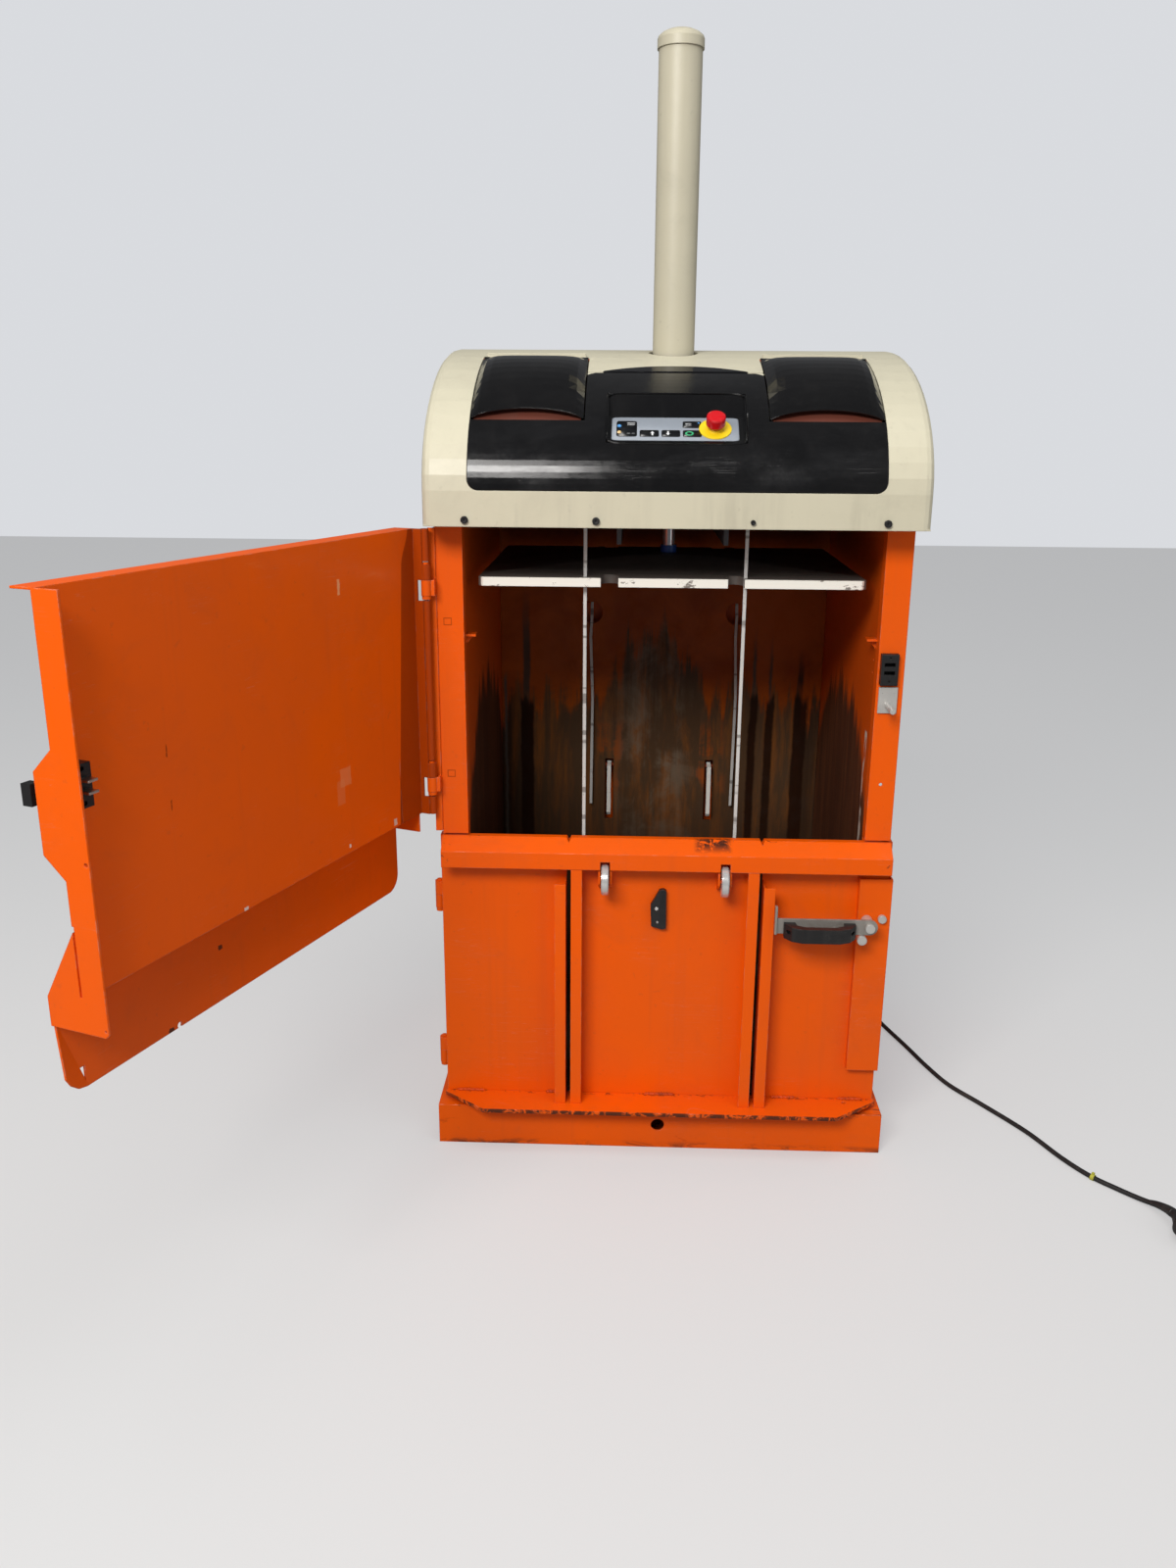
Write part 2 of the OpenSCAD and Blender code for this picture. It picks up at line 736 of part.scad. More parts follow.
module stop_button() {
    color([0.80, 0.03, 0.03]) stop_placed() {
        rotate_extrude($fn = 64) {
            polygon([[0, -9], [stop_r, -9], [stop_r, 10.5], [14.6, 10.5], [15.6, 12], [15.6, 24],
                     [14.6, 26.5], [11.5, 28], [0, 28.6]]);
        }
    }
}

// Hood screws along the front, frame screws on the rear cover
module frame_screws() {
    x1 = opening_w / 2 - face_gap;
    color([0.70, 0.69, 0.64]) {
        for (x = [69 - hood_w / 2, -126, 123, hood_w / 2 - 70]) {
            difference() {
                rod_y(hood_y0 - 4, hood_y0, x, hood_z0 + 11, abs(x) < 125 ? 4 : 6);
                rod_y(hood_y0 - 5, hood_y0 - 2, x, hood_z0 + 11, 2.2);
            }
        }
        for (z = [plinth_h + 60, frame_h / 2, frame_h - 100]) {
            for (x = [-x1 + 24, x1 - 24]) {
                rod_y(back_y, back_y + 4, x, z, 8);
            }
        }
    }
}

module oil_tank() {
    x0 = -service_x;
    y0 = back_y - 297;
    y1 = back_y - 104;
    color([0.20, 0.21, 0.22]) {
        difference() {
            block([x0, -84], [y0, y1], [head_z, head_z + 160]);
            block([x0 + 3, -87], [y0 + 3, y1 - 3], [head_z - 1, head_z + 157]);
        }
        rod_z(head_z + 160, head_z + 182, x0 + 45, y1 - 46, 22);
    }
}

module pump_motor() {
    y = back_y - 217;
    color([0.30, 0.33, 0.36]) {
        rod_x(120, 300, y, head_z + 66, 55);
        for (x = [140:16:284]) {
            rod_x(x, x + 4, y, head_z + 66, 60);
        }
        block([140, 280], [y - 44, y + 44], [head_z, head_z + 14]);
        rod_x(88, 121, y, head_z + 66, 32);
        block([54, 88], [y - 28, y + 28], [head_z + 34, head_z + 98]);
    }
}

// Short pipe run of straight pieces with round joints
module pipe_run(points, r) {
    for (i = [0:len(points) - 2]) {
        d = points[i + 1] - points[i];
        l = norm(d);
        translate(points[i]) rotate([0, acos(d[2] / l), atan2(d[1], d[0])]) cylinder(h = l, r = r);
        if (i > 0) {
            translate(points[i]) sphere(r = r + 0.6);
        }
    }
}

module hydraulic_pipes() {
    y = back_y - 217;
    color([0.16, 0.16, 0.17]) {
        pipe_run([[gland_r, ram_pos_y, head_z + 30], [62, ram_pos_y, head_z + 30], [62, y - 60, head_z + 30],
                  [70, y - 60, head_z + 60], [70, y - 28, head_z + 60]], 5);
        rod_z(gland_top_z, barrel_top_z - 20, 0, ram_pos_y + barrel_r + 3.5, 3);
    }
}

module control_box() {
    color([0.60, 0.61, 0.60]) {
        difference() {
            block([190, service_x], [back_y - 115, back_y - 22], [head_z, head_z + 150]);
            block([192, service_x - 2], [back_y - 113, back_y - 24], [head_z - 1, head_z + 148]);
        }
    }
}

module interlock_socket() {
    zc = (socket_z[0] + socket_z[1]) / 2;
    color([0.03, 0.03, 0.03]) difference() {
        block(socket_x, [front_y - 10, front_y + 24], socket_z);
        for (dz = [-5, 9]) {
            block([key_x - 9, key_x + 9], [front_y - 11, front_y + 8], [zc + dz - 3.2, zc + dz + 3.2]);
        }
        for (dz = [-20, 20]) {
            rod_y(front_y - 11, front_y - 7, key_x, zc + dz, 2.2);
        }
    }
}

module striker_plate() {
    color([0.78, 0.77, 0.74]) {
        block([opening_w / 2 + 4, opening_w / 2 + 36], [front_y - 4, front_y],
              [keeper_z - 14, keeper_z + 31]);
        rod_y(front_y - 52, front_y - 3, keeper_x, keeper_z, keeper_r);
    }
}

module spool_axles() {
    x0 = cover_x0 + 4;
    x1 = window_x - 5;
    color([0.50, 0.50, 0.50]) {
        for (ends = [[-x1, -x0], [x0, x1]]) {
            rod_x(ends[0], ends[1], axle_y, axle_z, axle_d / 2);
            for (x = [ends[0], ends[1] - 4]) {
                block([x, x + 4], [axle_y - 24, axle_y + 24], [head_z, axle_z + 14]);
            }
        }
    }
}

module roll(x) {
    x0 = x - roll_w / 2;
    x1 = x + roll_w / 2;
    color([0.86, 0.86, 0.82]) difference() {
        rod_x(x0, x1, axle_y, axle_z, roll_d / 2, $fn = 64);
        rod_x(x0 - 1, x1 + 1, axle_y, axle_z, axle_d / 2 + fit);
        for (a = [0:60:300]) {
            rod_x(x0 - 1, x1 + 1, axle_y + 26 * cos(a), axle_z + 26 * sin(a), 8, $fn = 20);
        }
    }
}

module roll_1() {
    roll(roll_x[0]);
}

module roll_2() {
    roll(roll_x[1]);
}

module roll_3() {
    roll(roll_x[2]);
}

module roll_4() {
    roll(roll_x[3]);
}

// Flat strap between points, its width along X
module strap_run(points) {
    for (i = [0:len(points) - 2]) {
        hull() {
            translate(points[i]) cube([strap_w, strap_t, strap_t], center = true);
            translate(points[i + 1]) cube([strap_w, strap_t, strap_t], center = true);
        }
    }
}

module straps() {
    back = rear_y + frame_t + 12;
    top = axle_y + roll_d / 2 + 2;
    front = axle_y - roll_d / 2 - 2;
    color([0.88, 0.88, 0.84]) {
        for (i = [0, 1]) {
            s = i == 0 ? -1 : 1;
            x = strap_front_x[i];
            strap_run([[s * roll_near, front, axle_z], [x, strap_front_y, head_z + 20],
                       [x, strap_front_y, lip_top_z - 60]]);
            xr = strap_rear_x[i];
            strap_run([[s * roll_far, top, axle_z], [s * (roll_far - 43), top + 134, head_z + 202],
                       [xr, back - 30, head_z + 202], [xr, back, head_z + 60],
                       [xr, back, split_z + 329], [xr, rear_y + 1, split_z + 297],
                       [xr - 2, rear_y - 13, split_z + 253], [xr + 3, rear_y - 15, split_z + 123],
                       [xr + 1, rear_y - 12, lip_top_z - 120]]);
        }
    }
}

module claw_brackets() {
    y0 = rear_y + frame_t;
    color([0.80, 0.42, 0.16]) {
        for (s = [-1, 1]) {
            for (dx = [-14, 10]) {
                block([s * claw_x + dx, s * claw_x + dx + 4], [y0, claw_axis_y + 9],
                      [claw_z - 10, claw_z + 10]);
            }
            rod_x(s * claw_x - 12, s * claw_x + 12, claw_axis_y, claw_z, claw_pin_r);
        }
    }
}

// Hanging claw: eye behind the wall, neck through the slot, bar in front of the wall
module claw(x) {
    color([0.86, 0.86, 0.83]) translate([x - 4.5, 0, 0]) difference() {
        union() {
            rod_x(0, 9, claw_axis_y, claw_z, claw_pin_r + 4.5);
            along_x(0, 9) {
                polygon([[claw_axis_y, claw_z + 7], [rear_y - 18, claw_z + 4], [rear_y - 19, claw_z - 104],
                         [rear_y - 13, claw_z - 111], [rear_y - 7, claw_z - 104], [rear_y - 7, claw_z - 30],
                         [claw_axis_y, claw_z - 7]]);
            }
        }
        rod_x(-1, 10, claw_axis_y, claw_z, claw_pin_r + fit);
    }
}

module left_claw() {
    claw(-claw_x);
}

module right_claw() {
    claw(claw_x);
}

module cable_gland() {
    color([0.05, 0.05, 0.05]) difference() {
        union() {
            translate([gland_x, hood_y1 + 9, gland_z]) rotate([90, 0, 0]) cylinder(h = 9, r = 13, $fn = 6);
            rod_y(hood_y1 + 8, hood_y1 + 17, gland_x, gland_z, 10);
        }
        rod_y(hood_y1 - 1, hood_y1 + 10, gland_x, gland_z, 6);
    }
}

function unit(v) = v / norm(v);
function smooth_point(p, i, t) =
    let (a = p[max(i - 1, 0)], b = p[i], c = p[i + 1], d = p[min(i + 2, len(p) - 1)])
    0.5 * (2 * b + (c - a) * t + (2 * a - 5 * b + 4 * c - d) * t * t + (3 * b - a - 3 * c + d) * t * t * t);
function above_floor(p) = [p[0], p[1], max(p[2], cord_floor)];
cord_path = concat(
    [for (i = [0:len(cord_points) - 2]) for (t = [0, 0.5]) above_floor(smooth_point(cord_points, i, t))],
    [cord_points[len(cord_points) - 1]]
);
cord_n = len(cord_path);
cord_tan = [for (i = [0:cord_n - 1]) unit(cord_path[min(i + 1, cord_n - 1)] - cord_path[max(i - 1, 0)])];
cord_nrm = [for (i = 0, v = [1, 0, 0]; i < cord_n;
    i = i + 1, v = i < cord_n ? unit(v - (v * cord_tan[i]) * cord_tan[i]) : v) v];
cord_sides = 10;

module supply_cord() {
    n = cord_n;
    m = cord_sides;
    pts = [for (i = [0:n - 1]) for (k = [0:m - 1])
        let (a = 360 * k / m, side = cross(cord_tan[i], cord_nrm[i]))
        cord_path[i] + cord_r * (cos(a) * cord_nrm[i] + sin(a) * side)];
    sides = [for (i = [0:n - 2]) for (k = [0:m - 1])
        [i * m + k, i * m + (k + 1) % m, (i + 1) * m + (k + 1) % m, (i + 1) * m + k]];
    ends = [[for (k = [m - 1:-1:0]) k], [for (k = [0:m - 1]) (n - 1) * m + k]];
    color([0.04, 0.04, 0.04]) polyhedron(points = pts, faces = concat(sides, ends), convexity = 6);
}

module plug() {
    p = cord_points[len(cord_points) - 1];
    color([0.05, 0.05, 0.05]) translate(p) rotate([0, 90, plug_dir]) {
        rotate_extrude($fn = 48) {
            polygon([[0, 0], [8, 0], [9, 8], [17, 22], [plug_r, 30], [plug_r, 72], [21, 76], [0, 76]]);
        }
        for (s = [-1, 1]) {
            translate([s * 9.5, 0, 75]) cylinder(h = 20, r = 2.4, $fn = 24);
        }
    }
}

module cord_tie() {
    p = cord_points[27];
    d = cord_points[28] - cord_points[27];
    color([0.85, 0.80, 0.10]) translate(p) rotate([0, 90, atan2(d[1], d[0])]) intersection() {
        union() {
            difference() {
                cylinder(h = 7, r = cord_r + 1.4);
                translate([0, 0, -1]) cylinder(h = 9, r = cord_r + 0.1);
            }
            translate([-cord_r - 5, -2, 1]) cube([5, 4, 5]);
        }
        translate([-20, -20, -10]) cube([20 + cord_floor - 0.1, 40, 40]);
    }
}

module platen() {
    x1 = platen_w / 2;
    y0 = platen_y;
    y1 = platen_y + platen_d;
    color([0.66, 0.66, 0.64]) difference() {
        union() {
            along_z(platen_z, platen_top_z) {
                polygon([[-x1, y0 + 8], [-x1 + 8, y0], [x1 - 8, y0], [x1, y0 + 8], [x1, y1 - 8], [x1 - 8, y1],
                         [-x1 + 8, y1], [-x1, y1 - 8]]);
            }
            hull() {
                block([-x1 + 14, x1 - 14], [y0 + 66, y1 - 30], [platen_top_z - 1, platen_top_z]);
                block([-70, 70], [ram_pos_y - 60, ram_pos_y + 60], [platen_peak_z - 1, platen_peak_z]);
            }
        }
        for (x = [[-120, -90], [95, 123]]) {
            block(x, [y0 - 1, y0 + 40], [platen_z - 1, platen_top_z + 30]);
            rod_z(platen_z - 1, platen_top_z + 30, (x[0] + x[1]) / 2, y0 + 38, (x[1] - x[0]) / 2 - 1);
        }
        for (x = strap_front_x) {
            block([x - 8, x + 8], [strap_front_y - 6, strap_front_y + 7], [platen_z - 1, platen_top_z + 30]);
        }
        for (x = strap_rear_x) {
            block([x - 16, x + 16], [y1 - 16, y1 + 1], [platen_z - 1, platen_top_z + 30]);
        }
        for (s = [-1, 1]) {
            block([s * claw_x - 14, s * claw_x + 14], [y1 - 22, y1 + 1], [platen_z - 1, platen_top_z + 30]);
        }
        block([-x1 + 20, x1 - 20], [y0 + 80, y1 - 44], [platen_z - 1, platen_z + 6]);
    }
}

module press_rod() {
    color([0.80, 0.80, 0.82]) rod_z(platen_peak_z, piston_z, 0, ram_pos_y, rod_d / 2);
}

module piston() {
    color([0.50, 0.50, 0.52]) difference() {
        rod_z(piston_z, piston_z + piston_h, 0, ram_pos_y, bore_d / 2 - fit);
        difference() {
            rod_z(piston_z + 18, piston_z + 24, 0, ram_pos_y, bore_d / 2 + 1);
            rod_z(piston_z + 17, piston_z + 25, 0, ram_pos_y, bore_d / 2 - 2);
        }
    }
}

module rod_collar() {
    color([0.05, 0.25, 0.60]) difference() {
        rod_z(platen_peak_z, platen_peak_z + 13, 0, ram_pos_y, rod_d / 2 + 4);
        rod_z(platen_peak_z - 1, platen_peak_z + 14, 0, ram_pos_y, rod_d / 2);
    }
}

module upper_door_panel() {
    x0 = upper_fold_x;
    x1 = upper_side_x - sheet;
    color([0.90, 0.33, 0.03]) swung_open() {
        difference() {
            union() {
                block([x0, x1], [upper_y - sheet, upper_y], [upper_z0, upper_z1]);
                block([x0, x1], [upper_y - top_flange, upper_y], [upper_z1 - sheet, upper_z1]);
                block([x0, x0 + sheet], [upper_y - sheet, upper_hinge_y - 2], [upper_z0, upper_z1]);
            }
            for (z = upper_knuckle_z) {
                block([x0 - 1, x0 + sheet + 1], [upper_hinge_y - 12, upper_hinge_y],
                      [z - 8, z + knuckle_h + 0.2]);
            }
            block([keeper_x - 9, keeper_x + 9], [upper_y - 9, upper_y + 9], [keeper_z - 11, keeper_z + 11]);
            translate([-opening_w / 2, 0, upper_z0]) along_y(upper_y - 9, upper_y + 9) {
                polygon([[13, -1], [16.4, -1], [15.4, 128]]);
            }
        }
        for (z = upper_knuckle_z) {
            door_knuckle(upper_hinge_y, z, x0 + sheet);
        }
        rolled_edge();
        rod_y(skirt_y + 10, upper_y - 1, latch_x, latch_z, stud_r);
        rod_y(skirt_y + 6, skirt_y + 10, latch_x, latch_z, stud_r + 3);
    }
}

// Rolled edge that closes the gap at the hinge, above, between and below the knuckles
module rolled_edge() {
    z1 = upper_knuckle_z[0];
    z2 = upper_knuckle_z[1];
    r = hinge_pin_r + 1.5;
    over = 2 * knuckle_h + 5;
    for (range = [[upper_z0, z1 - 8], [z1 + over, z2 - 8], [z2 + over, upper_z1]]) {
        rod_z(range[0], range[1], hinge_x, upper_hinge_y, r);
        block([hinge_x, upper_fold_x + sheet], [upper_hinge_y - r, upper_hinge_y - r + sheet], range);
    }
}

module upper_door_skirt() {
    x0 = upper_fold_x + 5;
    x1 = upper_side_x - sheet;
    fold_x = 37;
    fold_z = gusset_z0 - 40 - skirt_z0;
    fold_l = norm([fold_x, fold_z]);
    color([0.88, 0.32, 0.03]) swung_open() {
        intersection() {
            along_x(x0, x1) {
                polygon([[upper_y - sheet, gusset_z1], [skirt_y, gusset_z0 + 1], [skirt_y, skirt_z0],
                         [skirt_y + sheet, skirt_z0], [skirt_y + sheet, gusset_z0 - 1],
                         [upper_y - sheet, gusset_z1 - 5]]);
            }
            along_y(skirt_y - 1, upper_y) {
                difference() {
                    union() {
                        translate([x0, skirt_z0 + 30]) square([x1 - x0, 300]);
                        translate([x0 + 30, skirt_z0]) square([x1 - x0 - 30 - fold_x, 300]);
                        translate([x0 + 30, skirt_z0 + 30]) circle(r = 30);
                    }
                    translate([x1, skirt_z0]) {
                        polygon([[-fold_x, -1], [-fold_x, 0], [0, fold_z], [1, fold_z], [1, -1]]);
                    }
                    translate([opening_w / 2 - 172, skirt_z0 + 3]) circle(r = 4.5);
                }
            }
        }
        translate([x1 - fold_x, skirt_y, skirt_z0]) rotate([0, -atan2(fold_z, fold_x), 0]) {
            rotate([12, 0, 0]) along_y(0.6, sheet + 0.4) {
                polygon([[0, 2], [fold_l, 2], [fold_l, 0], [39, -25], [24, -22], [10, -13.5], [0, 0]]);
            }
        }
        block([x0, x0 + sheet], [skirt_y + 2, upper_y - sheet], [gusset_z0 - 30, gusset_z0]);
        block([x0, x0 + sheet], [upper_y - 20, upper_y - sheet], [gusset_z0 - 1, gusset_z1 - 40]);
    }
}

module upper_door_side() {
    y1 = front_y - 0.6;
    yp = upper_y - sheet;
    z = split_z;
    color([0.95, 0.36, 0.03]) swung_open() difference() {
        along_x(upper_side_x - sheet, upper_side_x) difference() {
            polygon([[y1, upper_z1], [yp, upper_z1], [yp, z + 353], [yp - 30, z + 324], [yp - 30, z + 223],
                     [yp, z + 195], [yp, gusset_z1], [skirt_y, gusset_z0], [skirt_y, gusset_z0 - 40],
                     [y1 - 5, gusset_z0 - 39], [y1, gusset_z0 - 34]]);
            translate([yp, upper_z0 + 4]) square([3, 92]);
            translate([y1 - 4, gusset_z0 - 30]) circle(r = 1.5);
            translate([y1 - 5, z + 220]) circle(r = 2.6);
        }
    }
}

module interlock_key() {
    zc = (socket_z[0] + socket_z[1]) / 2;
    color([0.72, 0.72, 0.70]) swung_open() {
        difference() {
            block([key_x - 13, key_x + 13], [upper_y, upper_y + 18], [zc - 26, zc + 27]);
            for (dz = [-20, 21]) {
                rod_y(upper_y + 14, upper_y + 19, key_x, zc + dz, 3);
            }
        }
        for (dz = [-5, 9]) {
            block([key_x - 7.5, key_x + 7.5], [upper_y + 17, upper_y + 33], [zc + dz - 1.5, zc + dz + 1.5]);
        }
    }
}

module latch_lever() {
    y0 = skirt_y + 10 + face_gap;
    color([0.03, 0.03, 0.03]) swung_open() difference() {
        union() {
            rod_y(y0, y0 + 6, latch_x, latch_z, 13);
            block([latch_x, latch_x + 62], [y0, y0 + 6], [latch_z - 7, latch_z + 7]);
            block([latch_x + 48, latch_x + 62], [y0 - 8, y0 + 6], [latch_z - 7, latch_z + 20]);
        }
        rod_y(y0 - 20, y0 + 20, latch_x, latch_z, stud_r + fit);
    }
}

// Hook that drops over the keeper, with the sleeve that turns it with the lever
module latch_hook() {
    y1 = upper_y - sheet - face_gap;
    y0 = skirt_y + 16 + face_gap;
    color([0.55, 0.55, 0.56]) swung_open() difference() {
        union() {
            rod_y(y0, y1, latch_x, latch_z, 9);
            along_y(y1 - 6, y1) {
                polygon([[latch_x - 8, latch_z], [latch_x + 1, latch_z + 8],
                         [keeper_x - 3.7, keeper_z + 15.6], [keeper_x + 0.4, keeper_z + 11.2],
                         [keeper_x - 10.5, keeper_z + 1], [keeper_x + 0.3, keeper_z - 10.6],
                         [keeper_x + 9.8, keeper_z - 1.7], [keeper_x + 13.9, keeper_z - 6.1],
                         [keeper_x, keeper_z - 19], [keeper_x - 14.9, keeper_z - 3],
                         [latch_x - 6, latch_z - 6]]);
            }
        }
        rod_y(y0 - 1, y1 + 1, latch_x, latch_z, stud_r + fit);
    }
}

// Panel between two places, with the flanges that stand forward beside its slits
module lower_door_panels() {
    x1 = lower_door_w / 2;
    half = slit_w / 2;
    top = lip_top_z - door_t;
    strip_y = lip_y + 1;
    inner = slit_x - half;
    outer = slit_x + half;
    color([0.92, 0.35, 0.03]) {
        for (x = [[-x1, -outer], [-inner, inner], [outer, x1]]) {
            block(x, [door_y, door_y + door_t], [sill_z1, top]);
        }
        for (s = [-1, 1]) {
            for (side = [-1, 1]) {
                web = s * slit_x + side * (half + door_t / 2);
                far = s * slit_x + side * (half + channel_w);
                z1 = side == s ? lip_z0 - 29 : lip_z0 - face_gap;
                block([web - door_t / 2, web + door_t / 2], [strip_y, door_y + 1], [sill_z1, z1]);
                block([min(web, far), max(web, far)], [strip_y, strip_y + door_t], [sill_z1, z1]);
            }
        }
        block([x1 - door_t, x1], [door_y, door_y + 32], [sill_z1, top]);
        difference() {
            block([-x1, -x1 + door_t], [door_y, lower_hinge_y - 1], [sill_z1, top]);
            for (z = lower_knuckle_z) {
                block([-x1 - 1, -x1 + door_t + 1], [lower_hinge_y - 12, lower_hinge_y + 1],
                      [z - 7, z + knuckle_h + 0.2]);
                rod_z(z - 8, z + 2 * knuckle_h + 8, hinge_x, lower_hinge_y, hinge_pin_r + fit);
            }
        }
        for (z = lower_knuckle_z) {
            door_knuckle(lower_hinge_y, z, -x1 + door_t);
        }
    }
}

module lip_beam() {
    x1 = body_w / 2 + 1.5;
    z_fold = lip_top_z - lip_slope_h;
    t = door_t;
    color([0.95, 0.37, 0.04]) difference() {
        along_x(-x1, x1) {
            difference() {
                polygon([[lip_y, lip_z0], [lip_y, z_fold], [front_y, lip_top_z], [door_y, lip_top_z],
                         [door_y, lip_z0]]);
                polygon([[lip_y + t, lip_z0 - 1], [lip_y + t, z_fold - 1], [front_y + 1, lip_top_z - t],
                         [door_y - t, lip_top_z - t], [door_y - t, lip_z0 - 1]]);
            }
        }
        for (s = [-1, 1]) {
            block([s * roller_x - 8.5, s * roller_x + 8.5], [lip_y - 1, door_y + 1],
                  [lip_z0 - 1, lip_z0 + 15]);
            translate([s * slit_x, 0, lip_top_z]) along_y(lip_y + 12, door_y + 1) {
                polygon([[0, -7], [4.5, 1], [-4.5, 1]]);
            }
            x = s * (slit_x - slit_w / 2 - 2);
            block([x - 4, x + 4], [door_y - t - 1, door_y + 1], [lip_z0 - 1, lip_z0 + 1]);
        }
    }
}

module door_sill() {
    x1 = lower_door_w / 2 + 3;
    x2 = body_w / 2 - 68;
    y_front = door_y - sill_out;
    color([0.93, 0.36, 0.04]) difference() {
        along_z(sill_z0, sill_z1) {
            polygon([[-x1, door_y - 8], [-x2, y_front], [x2, y_front], [x1, door_y - 8], [x1, door_y + 6],
                     [-x1 + 12, door_y + 6], [-x1, door_y]]);
        }
        rod_z(sill_z0 - 1, sill_z1 + 1, x2 + 20, front_y - 2, 4);
    }
}

module latch_plate() {
    x1 = lower_door_w / 2 + door_t;
    x0 = x1 - latch_plate_w;
    y0 = door_y - latch_plate_out;
    color([0.94, 0.36, 0.03]) {
        block([x0, x1], [y0, y0 + door_t], [latch_plate_z0, latch_plate_z1]);
        block([x0, x0 + door_t], [y0, door_y], [latch_plate_z0, latch_plate_z1]);
        block([x1 - door_t, x1], [y0, door_y + 30], [latch_plate_z0, latch_plate_z1]);
    }
}

module strap_cutter() {
    color([0.03, 0.03, 0.03]) translate([0, door_y, lip_z0 - 124]) difference() {
        along_y(-10, 0) {
            polygon([[-22, 6], [-2, 0], [5, 2], [4, 74], [0, 77], [-8, 76], [-24, 46]]);
        }
        rod_y(-11, -5, -13, 40, 4);
        rod_y(-11, -6, -11, 14, 2.2);
        block([-25, -14], [-6.5, -3.5], [18, 33]);
    }
}

module roller_brackets() {
    z1 = lip_z0 - face_gap;
    color([0.95, 0.37, 0.04]) {
        for (s = [-1, 1]) {
            for (x = [s * roller_x - 12, s * roller_x + 8.5]) {
                along_x(x, x + 3.5) {
                    polygon([[door_y, roller_z - 27], [roller_y - 2, roller_z - 12],
                             [lip_y + 4, roller_z - 6], [lip_y + 4, roller_z + 10],
                             [lip_y + 7, z1], [door_y, z1]]);
                }
            }
            rod_x(s * roller_x - 9, s * roller_x + 9, roller_y, roller_z, roller_pin_r);
        }
    }
}

module roller(x) {
    color([0.78, 0.78, 0.80]) difference() {
        union() {
            rod_x(x - roller_w / 2, x + roller_w / 2, roller_y, roller_z, roller_r - 1.5, $fn = 64);
            rod_x(x - roller_w / 2 + 1.5, x + roller_w / 2 - 1.5, roller_y, roller_z, roller_r, $fn = 64);
        }
        rod_x(x - roller_w, x + roller_w, roller_y, roller_z, roller_pin_r + fit);
    }
}

module left_roller() {
    roller(-roller_x);
}

module right_roller() {
    roller(roller_x);
}

// Pivot, stop and cover bolts on the latch plate
module door_bolts() {
    y0 = door_y - latch_plate_out;
    color([0.75, 0.75, 0.76]) {
        rod_y(lever_y + lever_t + face_gap, y0, lever_x, lever_z, lever_pin_d / 2 + 5);
        rod_y(lever_y - 6, y0 - 1, lever_x, lever_z, lever_pin_d / 2);
        rod_y(lever_y - 7, lever_y - face_gap, lever_x, lever_z, bolt_head_r);
        rod_y(lever_y - 3, y0, lever_x - 13, stop_z, bolt_head_r - 3.5);
        rod_y(lever_y - 6, lever_y + 9, lever_x - 13, stop_z, bolt_head_r);
        rod_y(y0 - 7, y0, lever_x + 27, lever_z + 4, bolt_head_r - 1);
    }
}

module handle_lever() {
    x0 = lever_x - lever_l;
    color([0.95, 0.37, 0.04]) difference() {
        union() {
            block([x0, lever_x], [lever_y, lever_y + lever_t],
                  [lever_z - lever_w / 2, lever_z + lever_w / 2]);
            rod_y(lever_y, lever_y + lever_t, lever_x, lever_z, lever_w / 2);
            block([x0, x0 + 4], [lever_y - 6, lever_y + lever_t], [lever_z - lever_w / 2, lever_z + 38]);
        }
        rod_y(lever_y - 1, lever_y + lever_t + 1, lever_x, lever_z, lever_pin_d / 2 + fit);
    }
}

// Bow grip: an arch seen from above, with two screw heads
module handle_grip() {
    x0 = lever_x - lever_l + 16;
    x1 = x0 + 126;
    y1 = lever_y;
    color([0.02, 0.02, 0.02]) difference() {
        along_z(lever_z - lever_w / 2 - 4, lever_z + lever_w / 2 - 6) {
            difference() {
                polygon([[x0, y1], [x0, y1 - 10], [x0 + 12, y1 - 26], [x0 + 30, y1 - 34], [x1 - 30, y1 - 34],
                         [x1 - 12, y1 - 26], [x1, y1 - 10], [x1, y1]]);
                polygon([[x0 + 20, y1 + 1], [x0 + 22, y1 - 14], [x0 + 36, y1 - 21], [x1 - 36, y1 - 21],
                         [x1 - 22, y1 - 14], [x1 - 20, y1 + 1]]);
            }
        }
        for (x = [x0 + 7, x1 - 7]) {
            rod_y(y1 - 34, y1 - 9, x, lever_z - 3, 3.6);
        }
    }
}

